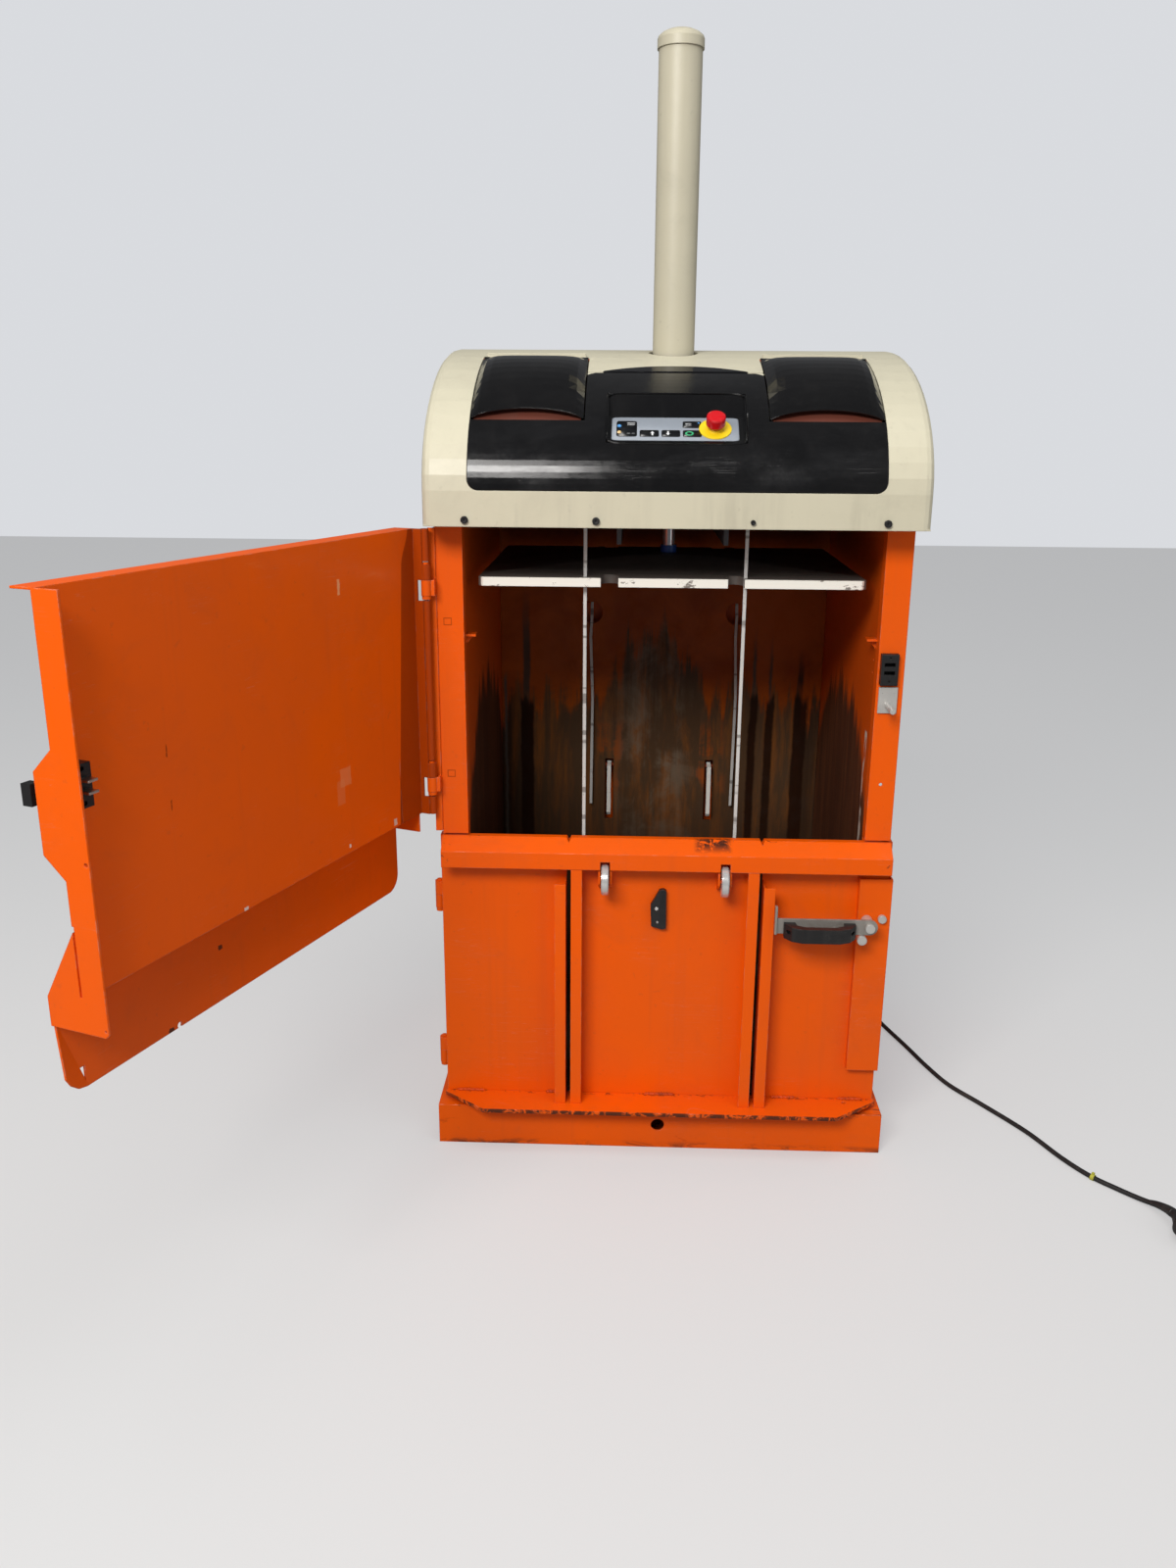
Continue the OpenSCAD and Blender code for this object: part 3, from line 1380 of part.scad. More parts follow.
// Domed lid over a pair of rolls, as a closed shell over a grid of points
module cover(s) {
    nu = 14;
    nv = 12;
    x0 = cover_x0 + 0.8;
    span = window_x - cover_x0 - 1.6;
    function lift(u, v) = cover_bulge * (1 - pow(abs(2 * u - 1), 8)) * pow(sin(180 * (0.06 + 0.94 * v)), 0.7);
    function grid(off) = [for (i = [0:nu]) for (j = [0:nv])
        let (u = i / nu, v = j / nv, a0 = cover_a0 + 3.3 * (1 - pow(2 * u - 1, 2)),
             p = hood_point(a0 + (cover_a1 - a0) * v, (v < 1 ? lift(u, v) : 0) - off))
        [s * (x0 + span * u), p[0], p[1]]];
    m = nv + 1;
    n = nu * m;
    k = n + m;
    top = [for (i = [0:nu - 1]) for (j = [0:nv - 1]) let (c = i * m + j)
        for (f = [[c, c + 1, c + m], [c + 1, c + m + 1, c + m]]) f];
    low = [for (f = top) [f[2] + k, f[1] + k, f[0] + k]];
    rim = concat(
        [for (i = [0:nu - 1]) let (c = i * m) [c, c + m, c + m + k, c + k]],
        [for (i = [0:nu - 1]) let (c = i * m + nv) [c + k, c + m + k, c + m, c]],
        [for (j = [0:nv - 1]) [j + k, j + 1 + k, j + 1, j]],
        [for (j = [n:n + nv - 1]) [j, j + 1, j + 1 + k, j + k]]
    );
    faces = concat(top, low, rim);
    ends = s > 0 ? [x0, x0 + span] : [-x0 - span, -x0];
    color([0.03, 0.03, 0.035]) difference() {
        union() {
            polyhedron(points = concat(grid(0.4), grid(0.4 + fascia_t)),
                       faces = s > 0 ? faces : [for (f = faces) [for (i = [len(f) - 1:-1:0]) f[i]]]);
            rod_x(ends[0], ends[1], cover_axis[0], cover_axis[1], 5);
        }
        rod_x(-hood_w, hood_w, cover_axis[0], cover_axis[1], cover_pin_r + fit);
    }
}

module left_cover() {
    cover(-1);
}

module right_cover() {
    cover(1);
}

plinth();
floor_plate();
left_side_frame();
right_side_frame();
rear_wall();
rear_cover();
cross_head();
hinge_strip();
hinge_pins();
cylinder_barrel();
cylinder_guard();
guard_cap();
hood_shell();
fascia_panel();
control_plate();
stop_base();
frame_screws();
oil_tank();
pump_motor();
hydraulic_pipes();
control_box();
interlock_socket();
striker_plate();
spool_axles();
straps();
claw_brackets();
cable_gland();
supply_cord();
plug();
cord_tie();
platen();
press_rod();
piston();
rod_collar();
upper_door_panel();
upper_door_skirt();
upper_door_side();
interlock_key();
latch_lever();
latch_hook();
lower_door_panels();
lip_beam();
door_sill();
latch_plate();
strap_cutter();
roller_brackets();
door_bolts();
handle_lever();
handle_grip();
left_roller();
right_roller();
left_claw();
right_claw();
left_cover();
right_cover();
roll_1();
roll_2();
roll_3();
roll_4();
stop_button();
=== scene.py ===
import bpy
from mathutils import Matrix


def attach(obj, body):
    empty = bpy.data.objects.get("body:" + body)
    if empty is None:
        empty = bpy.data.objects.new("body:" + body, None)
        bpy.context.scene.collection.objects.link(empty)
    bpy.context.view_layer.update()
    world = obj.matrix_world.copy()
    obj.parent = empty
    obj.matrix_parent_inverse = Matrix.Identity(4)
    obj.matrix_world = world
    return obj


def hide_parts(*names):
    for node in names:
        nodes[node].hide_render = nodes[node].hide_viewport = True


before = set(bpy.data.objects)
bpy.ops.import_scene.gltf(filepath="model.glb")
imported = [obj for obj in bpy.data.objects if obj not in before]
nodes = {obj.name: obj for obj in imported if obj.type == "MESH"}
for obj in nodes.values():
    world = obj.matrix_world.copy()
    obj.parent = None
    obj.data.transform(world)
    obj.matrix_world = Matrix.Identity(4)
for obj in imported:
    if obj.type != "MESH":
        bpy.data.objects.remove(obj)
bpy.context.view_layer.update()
import math
import bpy
import numpy as np
from mathutils import Matrix, Vector

scene = bpy.context.scene

# Camera from the fit to measured points: place in metres, angles in degrees, film in millimetres
cameraFit = {"place": (-0.0675, -2.3819, 1.3366), "yaw": -1.9527, "down": 16.7731, "roll": 0.3949,
             "focalPixels": 1260.84, "framePixels": 1600, "film": 36, "farClip": 60}
yaw, pitch, roll = (math.radians(cameraFit[key]) for key in ("yaw", "down", "roll"))
forward = Vector((math.sin(yaw) * math.cos(pitch), math.cos(yaw) * math.cos(pitch), -math.sin(pitch)))
level = Vector((math.cos(yaw), -math.sin(yaw), 0))
rise = level.cross(forward)
right = level * math.cos(roll) + rise * math.sin(roll)
up = rise * math.cos(roll) - level * math.sin(roll)
cameraData = bpy.data.cameras.new("camera")
cameraData.lens = cameraFit["focalPixels"] / cameraFit["framePixels"] * cameraFit["film"]
cameraData.sensor_width = cameraFit["film"]
cameraData.clip_end = cameraFit["farClip"]
camera = bpy.data.objects.new("camera", cameraData)
scene.collection.objects.link(camera)
facing = Matrix((right, up, -forward)).transposed().to_4x4()
camera.matrix_world = Matrix.Translation(Vector(cameraFit["place"])) @ facing
scene.camera = camera
scene.view_settings.view_transform = "Standard"
print("camera done")


class ShaderNet:
    # Small builder: a call adds one shader node, or a short chain of them, and gives back its output
    def __init__(self, tree):
        self.tree = tree

    def node(self, kind, inputs=(), **settings):
        added = self.tree.nodes.new(kind)
        for key, value in settings.items():
            setattr(added, key, value)
        for key, value in dict(inputs).items():
            self.put(added.inputs[key], value)
        return added

    def put(self, socket, value):
        if isinstance(value, bpy.types.NodeSocket):
            self.tree.links.new(value, socket)
        elif isinstance(value, (tuple, list)) and len(value) == 3 and socket.type == "RGBA":
            socket.default_value = (*value, 1)
        else:
            socket.default_value = value

    def math(self, operation, a, b=0.0, clamp=False):
        return self.node("ShaderNodeMath", {0: a, 1: b}, operation=operation, use_clamp=clamp).outputs[0]

    def add(self, a, b):
        return self.math("ADD", a, b)

    def less(self, a, b):
        return self.math("SUBTRACT", a, b)

    def times(self, a, b, clamp=False):
        return self.math("MULTIPLY", a, b, clamp=clamp)

    def most(self, a, b, clamp=False):
        return self.math("MAXIMUM", a, b, clamp=clamp)

    def least(self, a, b):
        return self.math("MINIMUM", a, b)

    def power(self, a, exponent):
        return self.math("POWER", a, exponent)

    def absolute(self, a):
        return self.math("ABSOLUTE", a)

    def ramp(self, value, low, high, start=0.0, end=1.0):
        # Smooth step from start, where value is low, to end, where it is high
        levels = {"Value": value, "From Min": low, "From Max": high, "To Min": start, "To Max": end}
        return self.node("ShaderNodeMapRange", levels, interpolation_type="SMOOTHSTEP").outputs["Result"]

    def mix(self, share, a, b):
        mixer = self.node("ShaderNodeMix", {"Factor": share}, data_type="RGBA")
        self.put(mixer.inputs[6], a)
        self.put(mixer.inputs[7], b)
        return mixer.outputs[2]

    def blend(self, share, a, b):
        return self.add(self.times(a, self.less(1.0, share)), self.times(b, share))

    def stretch(self, place, scale, turn=(0, 0, 0)):
        mapping = self.node("ShaderNodeMapping", {"Vector": place, "Scale": scale, "Rotation": turn})
        return mapping.outputs["Vector"]

    def xyz(self, place):
        return tuple(self.node("ShaderNodeSeparateXYZ", {0: place}).outputs)

    def patches(self, at, stretch=None, turn=(0, 0, 0), scale=1.0, detail=4.0, rough=0.55, distort=0.0,
                span=None):
        # Noise, stretched where stretch is given, and cut to a mask between the two levels of span
        place = self.stretch(at, stretch, turn) if stretch else at
        noise = self.node("ShaderNodeTexNoise", {"Vector": place, "Scale": scale, "Detail": detail,
                                                 "Roughness": rough, "Distortion": distort})
        return self.ramp(noise.outputs["Fac"], *span) if span else noise.outputs["Fac"]

    def swing(self, at, **noise):
        # Noise about zero
        return self.less(self.patches(at, **noise), 0.5)

    def box(self, at, low, high, soft=0.005):
        return self.effect(boxMask, Vector=at, Low=low, High=high, Soft=soft)["Mask"]

    def bump(self, strength, distance, height, normal):
        values = {"Strength": strength, "Distance": distance, "Height": height, "Normal": normal}
        return self.node("ShaderNodeBump", values).outputs["Normal"]

    def stain(self, surface, mask, tone):
        surface["Color"] = self.mix(mask, surface["Color"], tone)

    def effect(self, tree, **values):
        placed = self.node("ShaderNodeGroup", node_tree=tree)
        for key, value in values.items():
            self.put(placed.inputs[key], value)
        return placed.outputs


def newGroup(name, inputs, outputs):
    # inputs holds (label, kind, default), outputs (label, kind)
    group = bpy.data.node_groups.new(name, "ShaderNodeTree")
    kinds = {"value": "NodeSocketFloat", "color": "NodeSocketColor", "vector": "NodeSocketVector"}
    for label, kind, default in inputs:
        socket = group.interface.new_socket(label, in_out="INPUT", socket_type=kinds[kind])
        if default is not None:
            socket.default_value = default
    for label, kind in outputs:
        group.interface.new_socket(label, in_out="OUTPUT", socket_type=kinds[kind])
    given, result = group.nodes.new("NodeGroupInput").outputs, group.nodes.new("NodeGroupOutput").inputs
    return group, ShaderNet(group), given, result


# Three families of scratches: how each is turned, how far they stretch, and the patches that keep them
scratches = {"turns": ((0.3, 0.2, 0.5), (1.1, 0.4, -0.7), (-0.5, 1.3, 0.2)), "stretch": (3, 3, 70),
             "scale": 1.6, "width": 0.006, "patchScale": 5.0, "patchStep": 3, "patchSpan": (0.56, 0.66)}


def scratchGroup():
    # Thin lines where a stretched noise crosses its middle, kept only in patches
    group, net, given, result = newGroup(
        "scratchLines", [("Vector", "vector", None), ("Amount", "value", 0.5)], [("Mask", "value")])
    at, total = given["Vector"], None
    for k, turn in enumerate(scratches["turns"]):
        crossing = net.swing(at, stretch=scratches["stretch"], turn=turn, scale=scratches["scale"] + k,
                             detail=2.0, rough=0.5)
        thin = net.ramp(net.absolute(crossing), 0.0, scratches["width"], 1.0, 0.0)
        patchScale = scratches["patchScale"] + scratches["patchStep"] * k
        part = net.times(thin, net.patches(at, scale=patchScale, detail=2.0, span=scratches["patchSpan"]))
        total = part if total is None else net.most(total, part)
    net.put(result["Mask"], net.times(total, given["Amount"]))
    return group


edges = {"samples": 4, "lean": (0.02, 0.16)}


def edgeGroup():
    # Rounded normal at edges, and a mask of how far it leans from the flat one
    group, net, given, result = newGroup("edgeWear", [("Radius", "value", 0.002)],
                                         [("Mask", "value"), ("Normal", "vector")])
    bevelled = net.node("ShaderNodeBevel", {"Radius": given["Radius"]}, samples=edges["samples"])
    smooth = bevelled.outputs["Normal"]
    flat = net.node("ShaderNodeNewGeometry").outputs["True Normal"]
    along = net.node("ShaderNodeVectorMath", {0: smooth, 1: flat}, operation="DOT_PRODUCT").outputs["Value"]
    net.put(result["Mask"], net.ramp(net.less(1.0, along), *edges["lean"]))
    net.put(result["Normal"], smooth)
    return group


def boxGroup():
    # Soft box between two corners: 1 inside, 0 outside
    group, net, given, result = newGroup(
        "boxMask", [("Vector", "vector", None), ("Low", "vector", None), ("High", "vector", None),
                    ("Soft", "value", 0.005)], [("Mask", "value")])
    place, low, high = net.xyz(given["Vector"]), net.xyz(given["Low"]), net.xyz(given["High"])
    total = None
    for axis in range(3):
        inside = net.least(net.less(place[axis], low[axis]), net.less(high[axis], place[axis]))
        total = inside if total is None else net.least(total, inside)
    net.put(result["Mask"], net.ramp(total, net.times(given["Soft"], -0.5), net.times(given["Soft"], 0.5)))
    return group


scratchLines, edgeWear, boxMask = scratchGroup(), edgeGroup(), boxGroup()

# Noises of an aged surface, and how much each kind of dirt, bare spot and grain counts
aging = {
    "broad": {"scale": 2.4, "detail": 5.0, "rough": 0.6, "distort": 0.4}, "broadSpan": (0.3, 0.7),
    "fine": {"scale": 160.0, "detail": 3.0},
    "runs": {"stretch": (46, 46, 1.7), "detail": 3.0, "rough": 0.5, "distort": 0.15, "span": (0.52, 0.74)},
    "cloud": {"scale": 9.0, "detail": 8.0, "rough": 0.68, "distort": 0.6, "span": (0.48, 0.78)},
    "spots": {"scale": 75.0, "detail": 3.0, "rough": 0.6, "span": (0.66, 0.72)},
    "nibble": {"scale": 34.0, "detail": 6.0, "rough": 0.7, "span": (0.47, 0.60)},
    "rub": {"scale": 12.0, "detail": 9.0, "rough": 0.72, "distort": 0.5}, "rubSpan": (0.72, 0.86),
    "tone": 0.55, "cloudShare": 0.8, "runShare": 0.45, "spotShare": 0.8, "wornRub": 0.5, "wornCover": 3.0,
    "fineRough": 0.12, "dirtRough": 0.35, "bareRough": 0.12, "leastRough": 0.03, "bareMetal": 0.5,
    "broadHeight": 0.6, "bareDepth": 0.6,
    "bump": 0.35, "bumpDistance": 0.0012,
}


def agedGroup():
    # Painted or moulded surface: tone drift, dust, runs, scratches and worn edges
    group, net, given, result = newGroup("agedSurface", [
        ("Base", "color", (0.8, 0.2, 0.02, 1)), ("Under", "color", (0.35, 0.34, 0.33, 1)),
        ("Dirt", "color", (0.08, 0.06, 0.05, 1)), ("Rough", "value", 0.35), ("Vary", "value", 0.08),
        ("Grime", "value", 0.3), ("Scratch", "value", 0.5), ("Edge", "value", 0.5), ("Grain", "value", 0.15),
        ("Radius", "value", 0.002), ("Worn", "value", 0.0)],
        [("Color", "color"), ("Roughness", "value"), ("Metallic", "value"), ("Normal", "vector")])
    at = net.node("ShaderNodeTexCoord").outputs["Object"]
    broad, fine = net.patches(at, **aging["broad"]), net.patches(at, **aging["fine"])
    drift = net.times(net.ramp(broad, *aging["broadSpan"]), given["Vary"])
    base = net.mix(drift, given["Base"], net.mix(aging["tone"], given["Base"], given["Dirt"]))
    cloud = net.times(net.patches(at, **aging["cloud"]), aging["cloudShare"])
    runs = net.times(net.patches(at, **aging["runs"]), aging["runShare"])
    spots = net.times(net.patches(at, **aging["spots"]), aging["spotShare"])
    dirt = net.times(net.most(net.most(cloud, runs), spots), given["Grime"], clamp=True)
    lines = net.effect(scratchLines, Vector=at, Amount=given["Scratch"])["Mask"]
    edge = net.effect(edgeWear, Radius=given["Radius"])
    nibbled = net.times(net.times(edge["Mask"], net.patches(at, **aging["nibble"])), given["Edge"])
    rub = net.add(net.patches(at, **aging["rub"]), net.times(given["Worn"], aging["wornRub"]))
    cover = net.times(given["Worn"], aging["wornCover"], clamp=True)
    rubbed = net.times(net.ramp(rub, *aging["rubSpan"]), cover)
    bare = net.most(net.most(lines, nibbled), rubbed, clamp=True)
    net.put(result["Color"], net.mix(bare, net.mix(dirt, base, given["Dirt"]), given["Under"]))
    rough = net.add(given["Rough"], net.times(net.less(fine, 0.5), aging["fineRough"]))
    rough = net.add(net.add(rough, net.times(dirt, aging["dirtRough"])), net.times(bare, aging["bareRough"]))
    net.put(result["Roughness"], net.most(rough, aging["leastRough"], clamp=True))
    net.put(result["Metallic"], net.times(bare, aging["bareMetal"]))
    grain = net.add(net.times(fine, given["Grain"]), net.times(broad, aging["broadHeight"]))
    height = net.less(grain, net.times(bare, aging["bareDepth"]))
    net.put(result["Normal"], net.bump(aging["bump"], aging["bumpDistance"], height, edge["Normal"]))
    return group


agedSurface = agedGroup()
materials = {}
orange = (0.84, 0.103, 0.0)
primer = (0.62, 0.50, 0.42)


def makeMaterial(name, base, rough=0.4, metal=0.0, coat=0.0, sheen=0.0, spec=0.5, extra=None, **aged):
    # extra(net, at, surface) may change the dictionary of Color, Roughness, Metallic and Normal
    material = bpy.data.materials.new(name)
    material.use_nodes = True
    net = ShaderNet(material.node_tree)
    principled = material.node_tree.nodes["Principled BSDF"].inputs
    values = {"Base": base, "Rough": rough, "Under": (0.33, 0.32, 0.31), "Dirt": (0.07, 0.055, 0.045)}
    values.update(aged)
    out = net.effect(agedSurface, **values)
    surface = {key: out[key] for key in ("Color", "Roughness", "Metallic", "Normal")}
    if metal:
        surface["Metallic"] = net.most(surface["Metallic"], metal)
    if extra:
        extra(net, net.node("ShaderNodeTexCoord").outputs["Object"], surface)
    net.put(principled["Base Color"], surface["Color"])
    for key in ("Roughness", "Metallic", "Normal"):
        net.put(principled[key], surface[key])
    principled["Coat Weight"].default_value = coat
    principled["Coat Roughness"].default_value = 0.08
    principled["Sheen Weight"].default_value = sheen
    principled["Specular IOR Level"].default_value = spec
    materials[name] = material


# Upper door: its hinge line, and the angle at which the modelled door stands open
upperDoor = {"hinge": (-0.409, -0.330), "open": math.radians(111)}


def closedPlace(net, at):
    # Coordinates on the upper door as if it were shut, turned back about its hinge
    x, y, z = net.xyz(at)
    hingeX, hingeY = upperDoor["hinge"]
    cosine, sine = math.cos(upperDoor["open"]), math.sin(upperDoor["open"])
    fromX, fromY = net.less(x, hingeX), net.less(y, hingeY)
    shutX = net.add(net.less(net.times(fromX, cosine), net.times(fromY, sine)), hingeX)
    shutY = net.add(net.add(net.times(fromX, sine), net.times(fromY, cosine)), hingeY)
    place = net.node("ShaderNodeCombineXYZ", {0: shutX, 1: shutY, 2: z}).outputs[0]
    return shutX, shutY, z, place


# Marks on the upper door and its skirt: x and z ranges on the shut door, tone, strength
doorMarks = {
    "paleScratch": (-0.185, -0.178, 1.070, 1.094, (0.86, 0.42, 0.20), 0.7),
    "upperTick": (0.2105, 0.2130, 0.917, 0.934, (0.16, 0.02, 0.0), 0.8),
    "lowerTick": (0.2105, 0.2128, 0.844, 0.860, (0.16, 0.02, 0.0), 0.8),
    "scuffOne": (-0.190, -0.160, 0.772, 0.802, (0.80, 0.30, 0.12), 0.35),
    "scuffTwo": (-0.172, -0.150, 0.745, 0.785, (0.72, 0.25, 0.10), 0.25),
    "foldChip": (0.078, 0.088, 0.657, 0.665, (0.72, 0.62, 0.55), 0.9),
    "cornerChip": (-0.3195, -0.3095, 0.664, 0.676, (0.70, 0.55, 0.45), 0.8),
    "smallChip": (-0.181, -0.176, 0.668, 0.674, (0.75, 0.65, 0.55), 0.9),
    "skirtSpot": (0.078, 0.087, 0.590, 0.597, (0.05, 0.02, 0.01), 0.9),
    "skirtNick": (0.190, 0.200, 0.509, 0.519, (0.03, 0.02, 0.01), 0.9),
}
# Other wear of the same door: ragged outlines, a band of painted shade along the hinge side, and rubs near
# the top
doorAge = {
    "rag": {"scale": 120.0, "detail": 3.0}, "ragDepth": 0.006, "outline": (-0.0005, 0.0010),
    "innerFace": (-0.3500, -0.3490), "skirtTop": 0.61,
    # Painted shade: a dark band beside the hinge, standing in for the shadow of the frame and hood
    "hingeShade": {"x": -0.366, "top": 1.15, "lean": 0.075, "bendFrom": 1.095, "bend": 0.018,
             "soft": (0.002, -0.002), "strength": 0.62, "tone": (0.10, 0.006, 0.0)},
    "rub": {"stretch": (2, 2, 14), "turn": (0, 0.12, 0), "scale": 3.0, "detail": 6.0, "rough": 0.7,
            "span": (0.58, 0.75)},
    "rubZone": ((-0.30, -0.36, 1.08), (0.05, -0.34, 1.15), 0.05),
    "rubStrength": 0.35, "rubTone": (0.86, 0.28, 0.10), "rubRough": 0.15,
}


def doorWear(net, at, surface):
    # Scuffs and chips at their places, painted shade along the hinge side, and old rub marks near the top
    # where hands close the door
    x, y, z, place = closedPlace(net, at)
    rag = net.times(net.swing(place, **doorAge["rag"]), doorAge["ragDepth"])
    inside = net.ramp(y, *doorAge["innerFace"])
    for left, end, bottom, top, tone, strength in doorMarks.values():
        gap = net.least(net.least(net.less(x, left), net.less(end, x)),
                        net.least(net.less(z, bottom), net.less(top, z)))
        mask = net.times(net.ramp(net.add(gap, rag), *doorAge["outline"]), strength)
        if bottom > doorAge["skirtTop"]:
            mask = net.times(mask, inside)
        net.stain(surface, mask, tone)
    # Painted shade: darken the inner face beside the hinge, left of a line that bends near the top like the
    # hood's shadow
    hingeShade = doorAge["hingeShade"]
    edge = net.add(net.times(net.less(hingeShade["top"], z), hingeShade["lean"]), hingeShade["x"])
    bend = net.times(net.ramp(z, hingeShade["bendFrom"], hingeShade["top"]), hingeShade["bend"])
    hingeShadeBand = net.times(net.ramp(net.less(x, net.less(edge, bend)), *hingeShade["soft"]), inside)
    net.stain(surface, net.times(hingeShadeBand, hingeShade["strength"]), hingeShade["tone"])
    rub = net.times(net.patches(place, **doorAge["rub"]), net.box(place, *doorAge["rubZone"]))
    net.stain(surface, net.times(rub, doorAge["rubStrength"]), doorAge["rubTone"])
    surface["Roughness"] = net.add(surface["Roughness"], net.times(rub, doorAge["rubRough"]))


# Arched edge between the black front and the hood, between the covers; metres
archShape = {"apex": -0.161, "drop": 3.0, "power": 2.2, "half": 0.1475, "depths": (-0.30, 0.0),
             "heights": (1.36, 1.5), "placeSoft": 0.001, "soft": 0.0006}


def archPast(net, at):
    # Distance behind the arched edge, y + drop |x|^power - apex, and a mask of the place between the covers
    x, y = net.xyz(at)[:2]
    fall = net.times(net.power(net.absolute(x), archShape["power"]), archShape["drop"])
    half, (front, behind), (low, high) = archShape["half"], archShape["depths"], archShape["heights"]
    between = net.box(at, (-half, front, low), (half, behind, high), archShape["placeSoft"])
    return net.less(net.add(y, fall), archShape["apex"]), between


hoodAge = {
    "soot": {"stretch": (14, 14, 1.5), "detail": 5.0, "rough": 0.65, "span": (0.50, 0.72)},
    "sootHeights": (1.30, 1.17), "sootStrength": 0.22, "sootTone": (0.16, 0.14, 0.11),
    "black": (0.006, 0.006, 0.007), "blackRough": 0.10,
}


def hoodTrim(net, at, surface):
    # Black in front of the arched edge; soot that thins out upwards
    past, between = archPast(net, at)
    black = net.times(net.ramp(past, -archShape["soft"], archShape["soft"], 1.0, 0.0), between)
    soot = net.times(net.patches(at, **hoodAge["soot"]), net.ramp(net.xyz(at)[2], *hoodAge["sootHeights"]))
    net.stain(surface, net.times(soot, hoodAge["sootStrength"]), hoodAge["sootTone"])
    net.stain(surface, black, hoodAge["black"])
    surface["Roughness"] = net.blend(black, surface["Roughness"], hoodAge["blackRough"])


frontAge = {
    "haze": {"stretch": (3, 6, 6), "turn": (0, 0.2, 0), "scale": 1.5, "detail": 6.0, "rough": 0.65,
             "distort": 0.4, "span": (0.45, 0.75)},
    "hazeStrength": 0.5, "hazeTone": (0.016, 0.016, 0.017), "hazeRough": 0.14,
    "pale": (0.60, 0.565, 0.43), "paleRough": 0.4,
}


def frontTrim(net, at, surface):
    # Hood colour behind the arch, and hazy wiped dust on the gloss
    past, between = archPast(net, at)
    pale = net.times(net.ramp(past, -archShape["soft"], archShape["soft"]), between)
    haze = net.patches(at, **frontAge["haze"])
    net.stain(surface, net.times(haze, frontAge["hazeStrength"]), frontAge["hazeTone"])
    net.stain(surface, pale, frontAge["pale"])
    hazy = net.add(surface["Roughness"], net.times(haze, frontAge["hazeRough"]))
    surface["Roughness"] = net.blend(pale, hazy, frontAge["paleRough"])


# Chamber side of the side frames: painted shade darkens all of it, and the paint is gone below the ragged
# arch z = top - curve y^2
chamberAge = {
    "inside": ((-0.36, -0.285, 0.0), (0.36, 0.29, 1.17), 0.004), "walls": (0.3520, 0.3512),
    "top": 0.86, "curve": 2.2, "fade": (-0.01, 0.05), "steelStrength": 0.93, "steelRough": 0.18,
    "rag": {"stretch": (22, 22, 2.6), "detail": 6.0, "rough": 0.7}, "ragHeight": 0.28,
    "smear": {"stretch": (36, 36, 2.0), "detail": 7.0, "rough": 0.72, "distort": 0.3, "span": (0.38, 0.70)},
    "darkSteel": (0.030, 0.018, 0.012), "rustySteel": (0.115, 0.050, 0.022),
    "paintedShadeStrength": 0.35, "paintedShadeTone": (0.24, 0.040, 0.002),
    "scrape": {"stretch": (60, 60, 14), "detail": 4.0, "span": (0.44, 0.52)},
    "scrapeZone": ((0.345, -0.262, 0.50), (0.352, -0.244, 0.80), 0.004), "scrapeTone": (0.62, 0.55, 0.47),
}
# Two dark rings on the front of the left upright: half width and half height, outside and inside
uprightRings = {"x": -0.3775, "face": (-0.3125, -0.3115), "heights": (0.7278, 0.9952),
                "outer": (0.0070, 0.0065), "inner": (0.0055, 0.0050), "soft": 0.001, "strength": 0.75,
                "tone": (0.22, 0.03, 0.0)}


def chamberWear(net, at, surface):
    # Side frames: painted shade over the chamber side, bare dark steel inside the chamber, a scrape, and the
    # rings in front
    age = chamberAge
    x, y, z = net.xyz(at)
    wall = net.ramp(net.absolute(x), *age["walls"])
    inner = net.times(net.box(at, *age["inside"]), wall)
    rag = net.times(net.swing(at, **age["rag"]), age["ragHeight"])
    line = net.add(net.less(age["top"], net.times(net.power(y, 2.0), age["curve"])), rag)
    worn = net.times(net.ramp(net.less(line, z), *age["fade"]), inner)
    steel = net.mix(net.patches(at, **age["smear"]), age["darkSteel"], age["rustySteel"])
    # Painted shade: the whole chamber side of each frame is darkened, as it lies in the chamber's shadow
    net.stain(surface, net.times(inner, age["paintedShadeStrength"]), age["paintedShadeTone"])
    net.stain(surface, net.times(worn, age["steelStrength"]), steel)
    scrape = net.times(net.times(net.box(at, *age["scrapeZone"]), net.patches(at, **age["scrape"])), wall)
    net.stain(surface, scrape, age["scrapeTone"])
    surface["Roughness"] = net.add(surface["Roughness"], net.times(worn, age["steelRough"]))
    rings, (front, behind) = uprightRings, uprightRings["face"]
    for height in rings["heights"]:
        ring, hole = (net.box(at, (rings["x"] - wide, front, height - tall),
                              (rings["x"] + wide, behind, height + tall), rings["soft"])
                      for wide, tall in (rings["outer"], rings["inner"]))
        net.stain(surface, net.times(net.less(ring, hole), rings["strength"]), rings["tone"])


# Rear wall marks in metres: x from, x to, top, bottom, tone, how far the top fades
wallMarks = {
    "barLeft": (-0.309, -0.279, 0.735, 0.20, (0.004, 0.003, 0.0025), 0.02),
    "taperLeft": (-0.303, -0.286, 1.000, 0.735, (0.060, 0.045, 0.034), 0.16),
    "stripLeft": (-0.345, -0.337, 0.800, 0.30, (0.100, 0.092, 0.080), 0.03),
    "barInner": (0.194, 0.213, 0.745, 0.20, (0.004, 0.003, 0.0025), 0.02),
    "taperInner": (0.199, 0.208, 0.900, 0.745, (0.075, 0.060, 0.048), 0.10),
    "barMiddle": (0.230, 0.250, 0.745, 0.20, (0.005, 0.004, 0.003), 0.02),
    "taperMiddle": (0.235, 0.243, 0.880, 0.745, (0.065, 0.052, 0.042), 0.10),
    "barOuter": (0.292, 0.323, 0.760, 0.20, (0.004, 0.003, 0.0025), 0.03),
    "taperOuter": (0.298, 0.312, 0.850, 0.760, (0.020, 0.012, 0.009), 0.08),
}
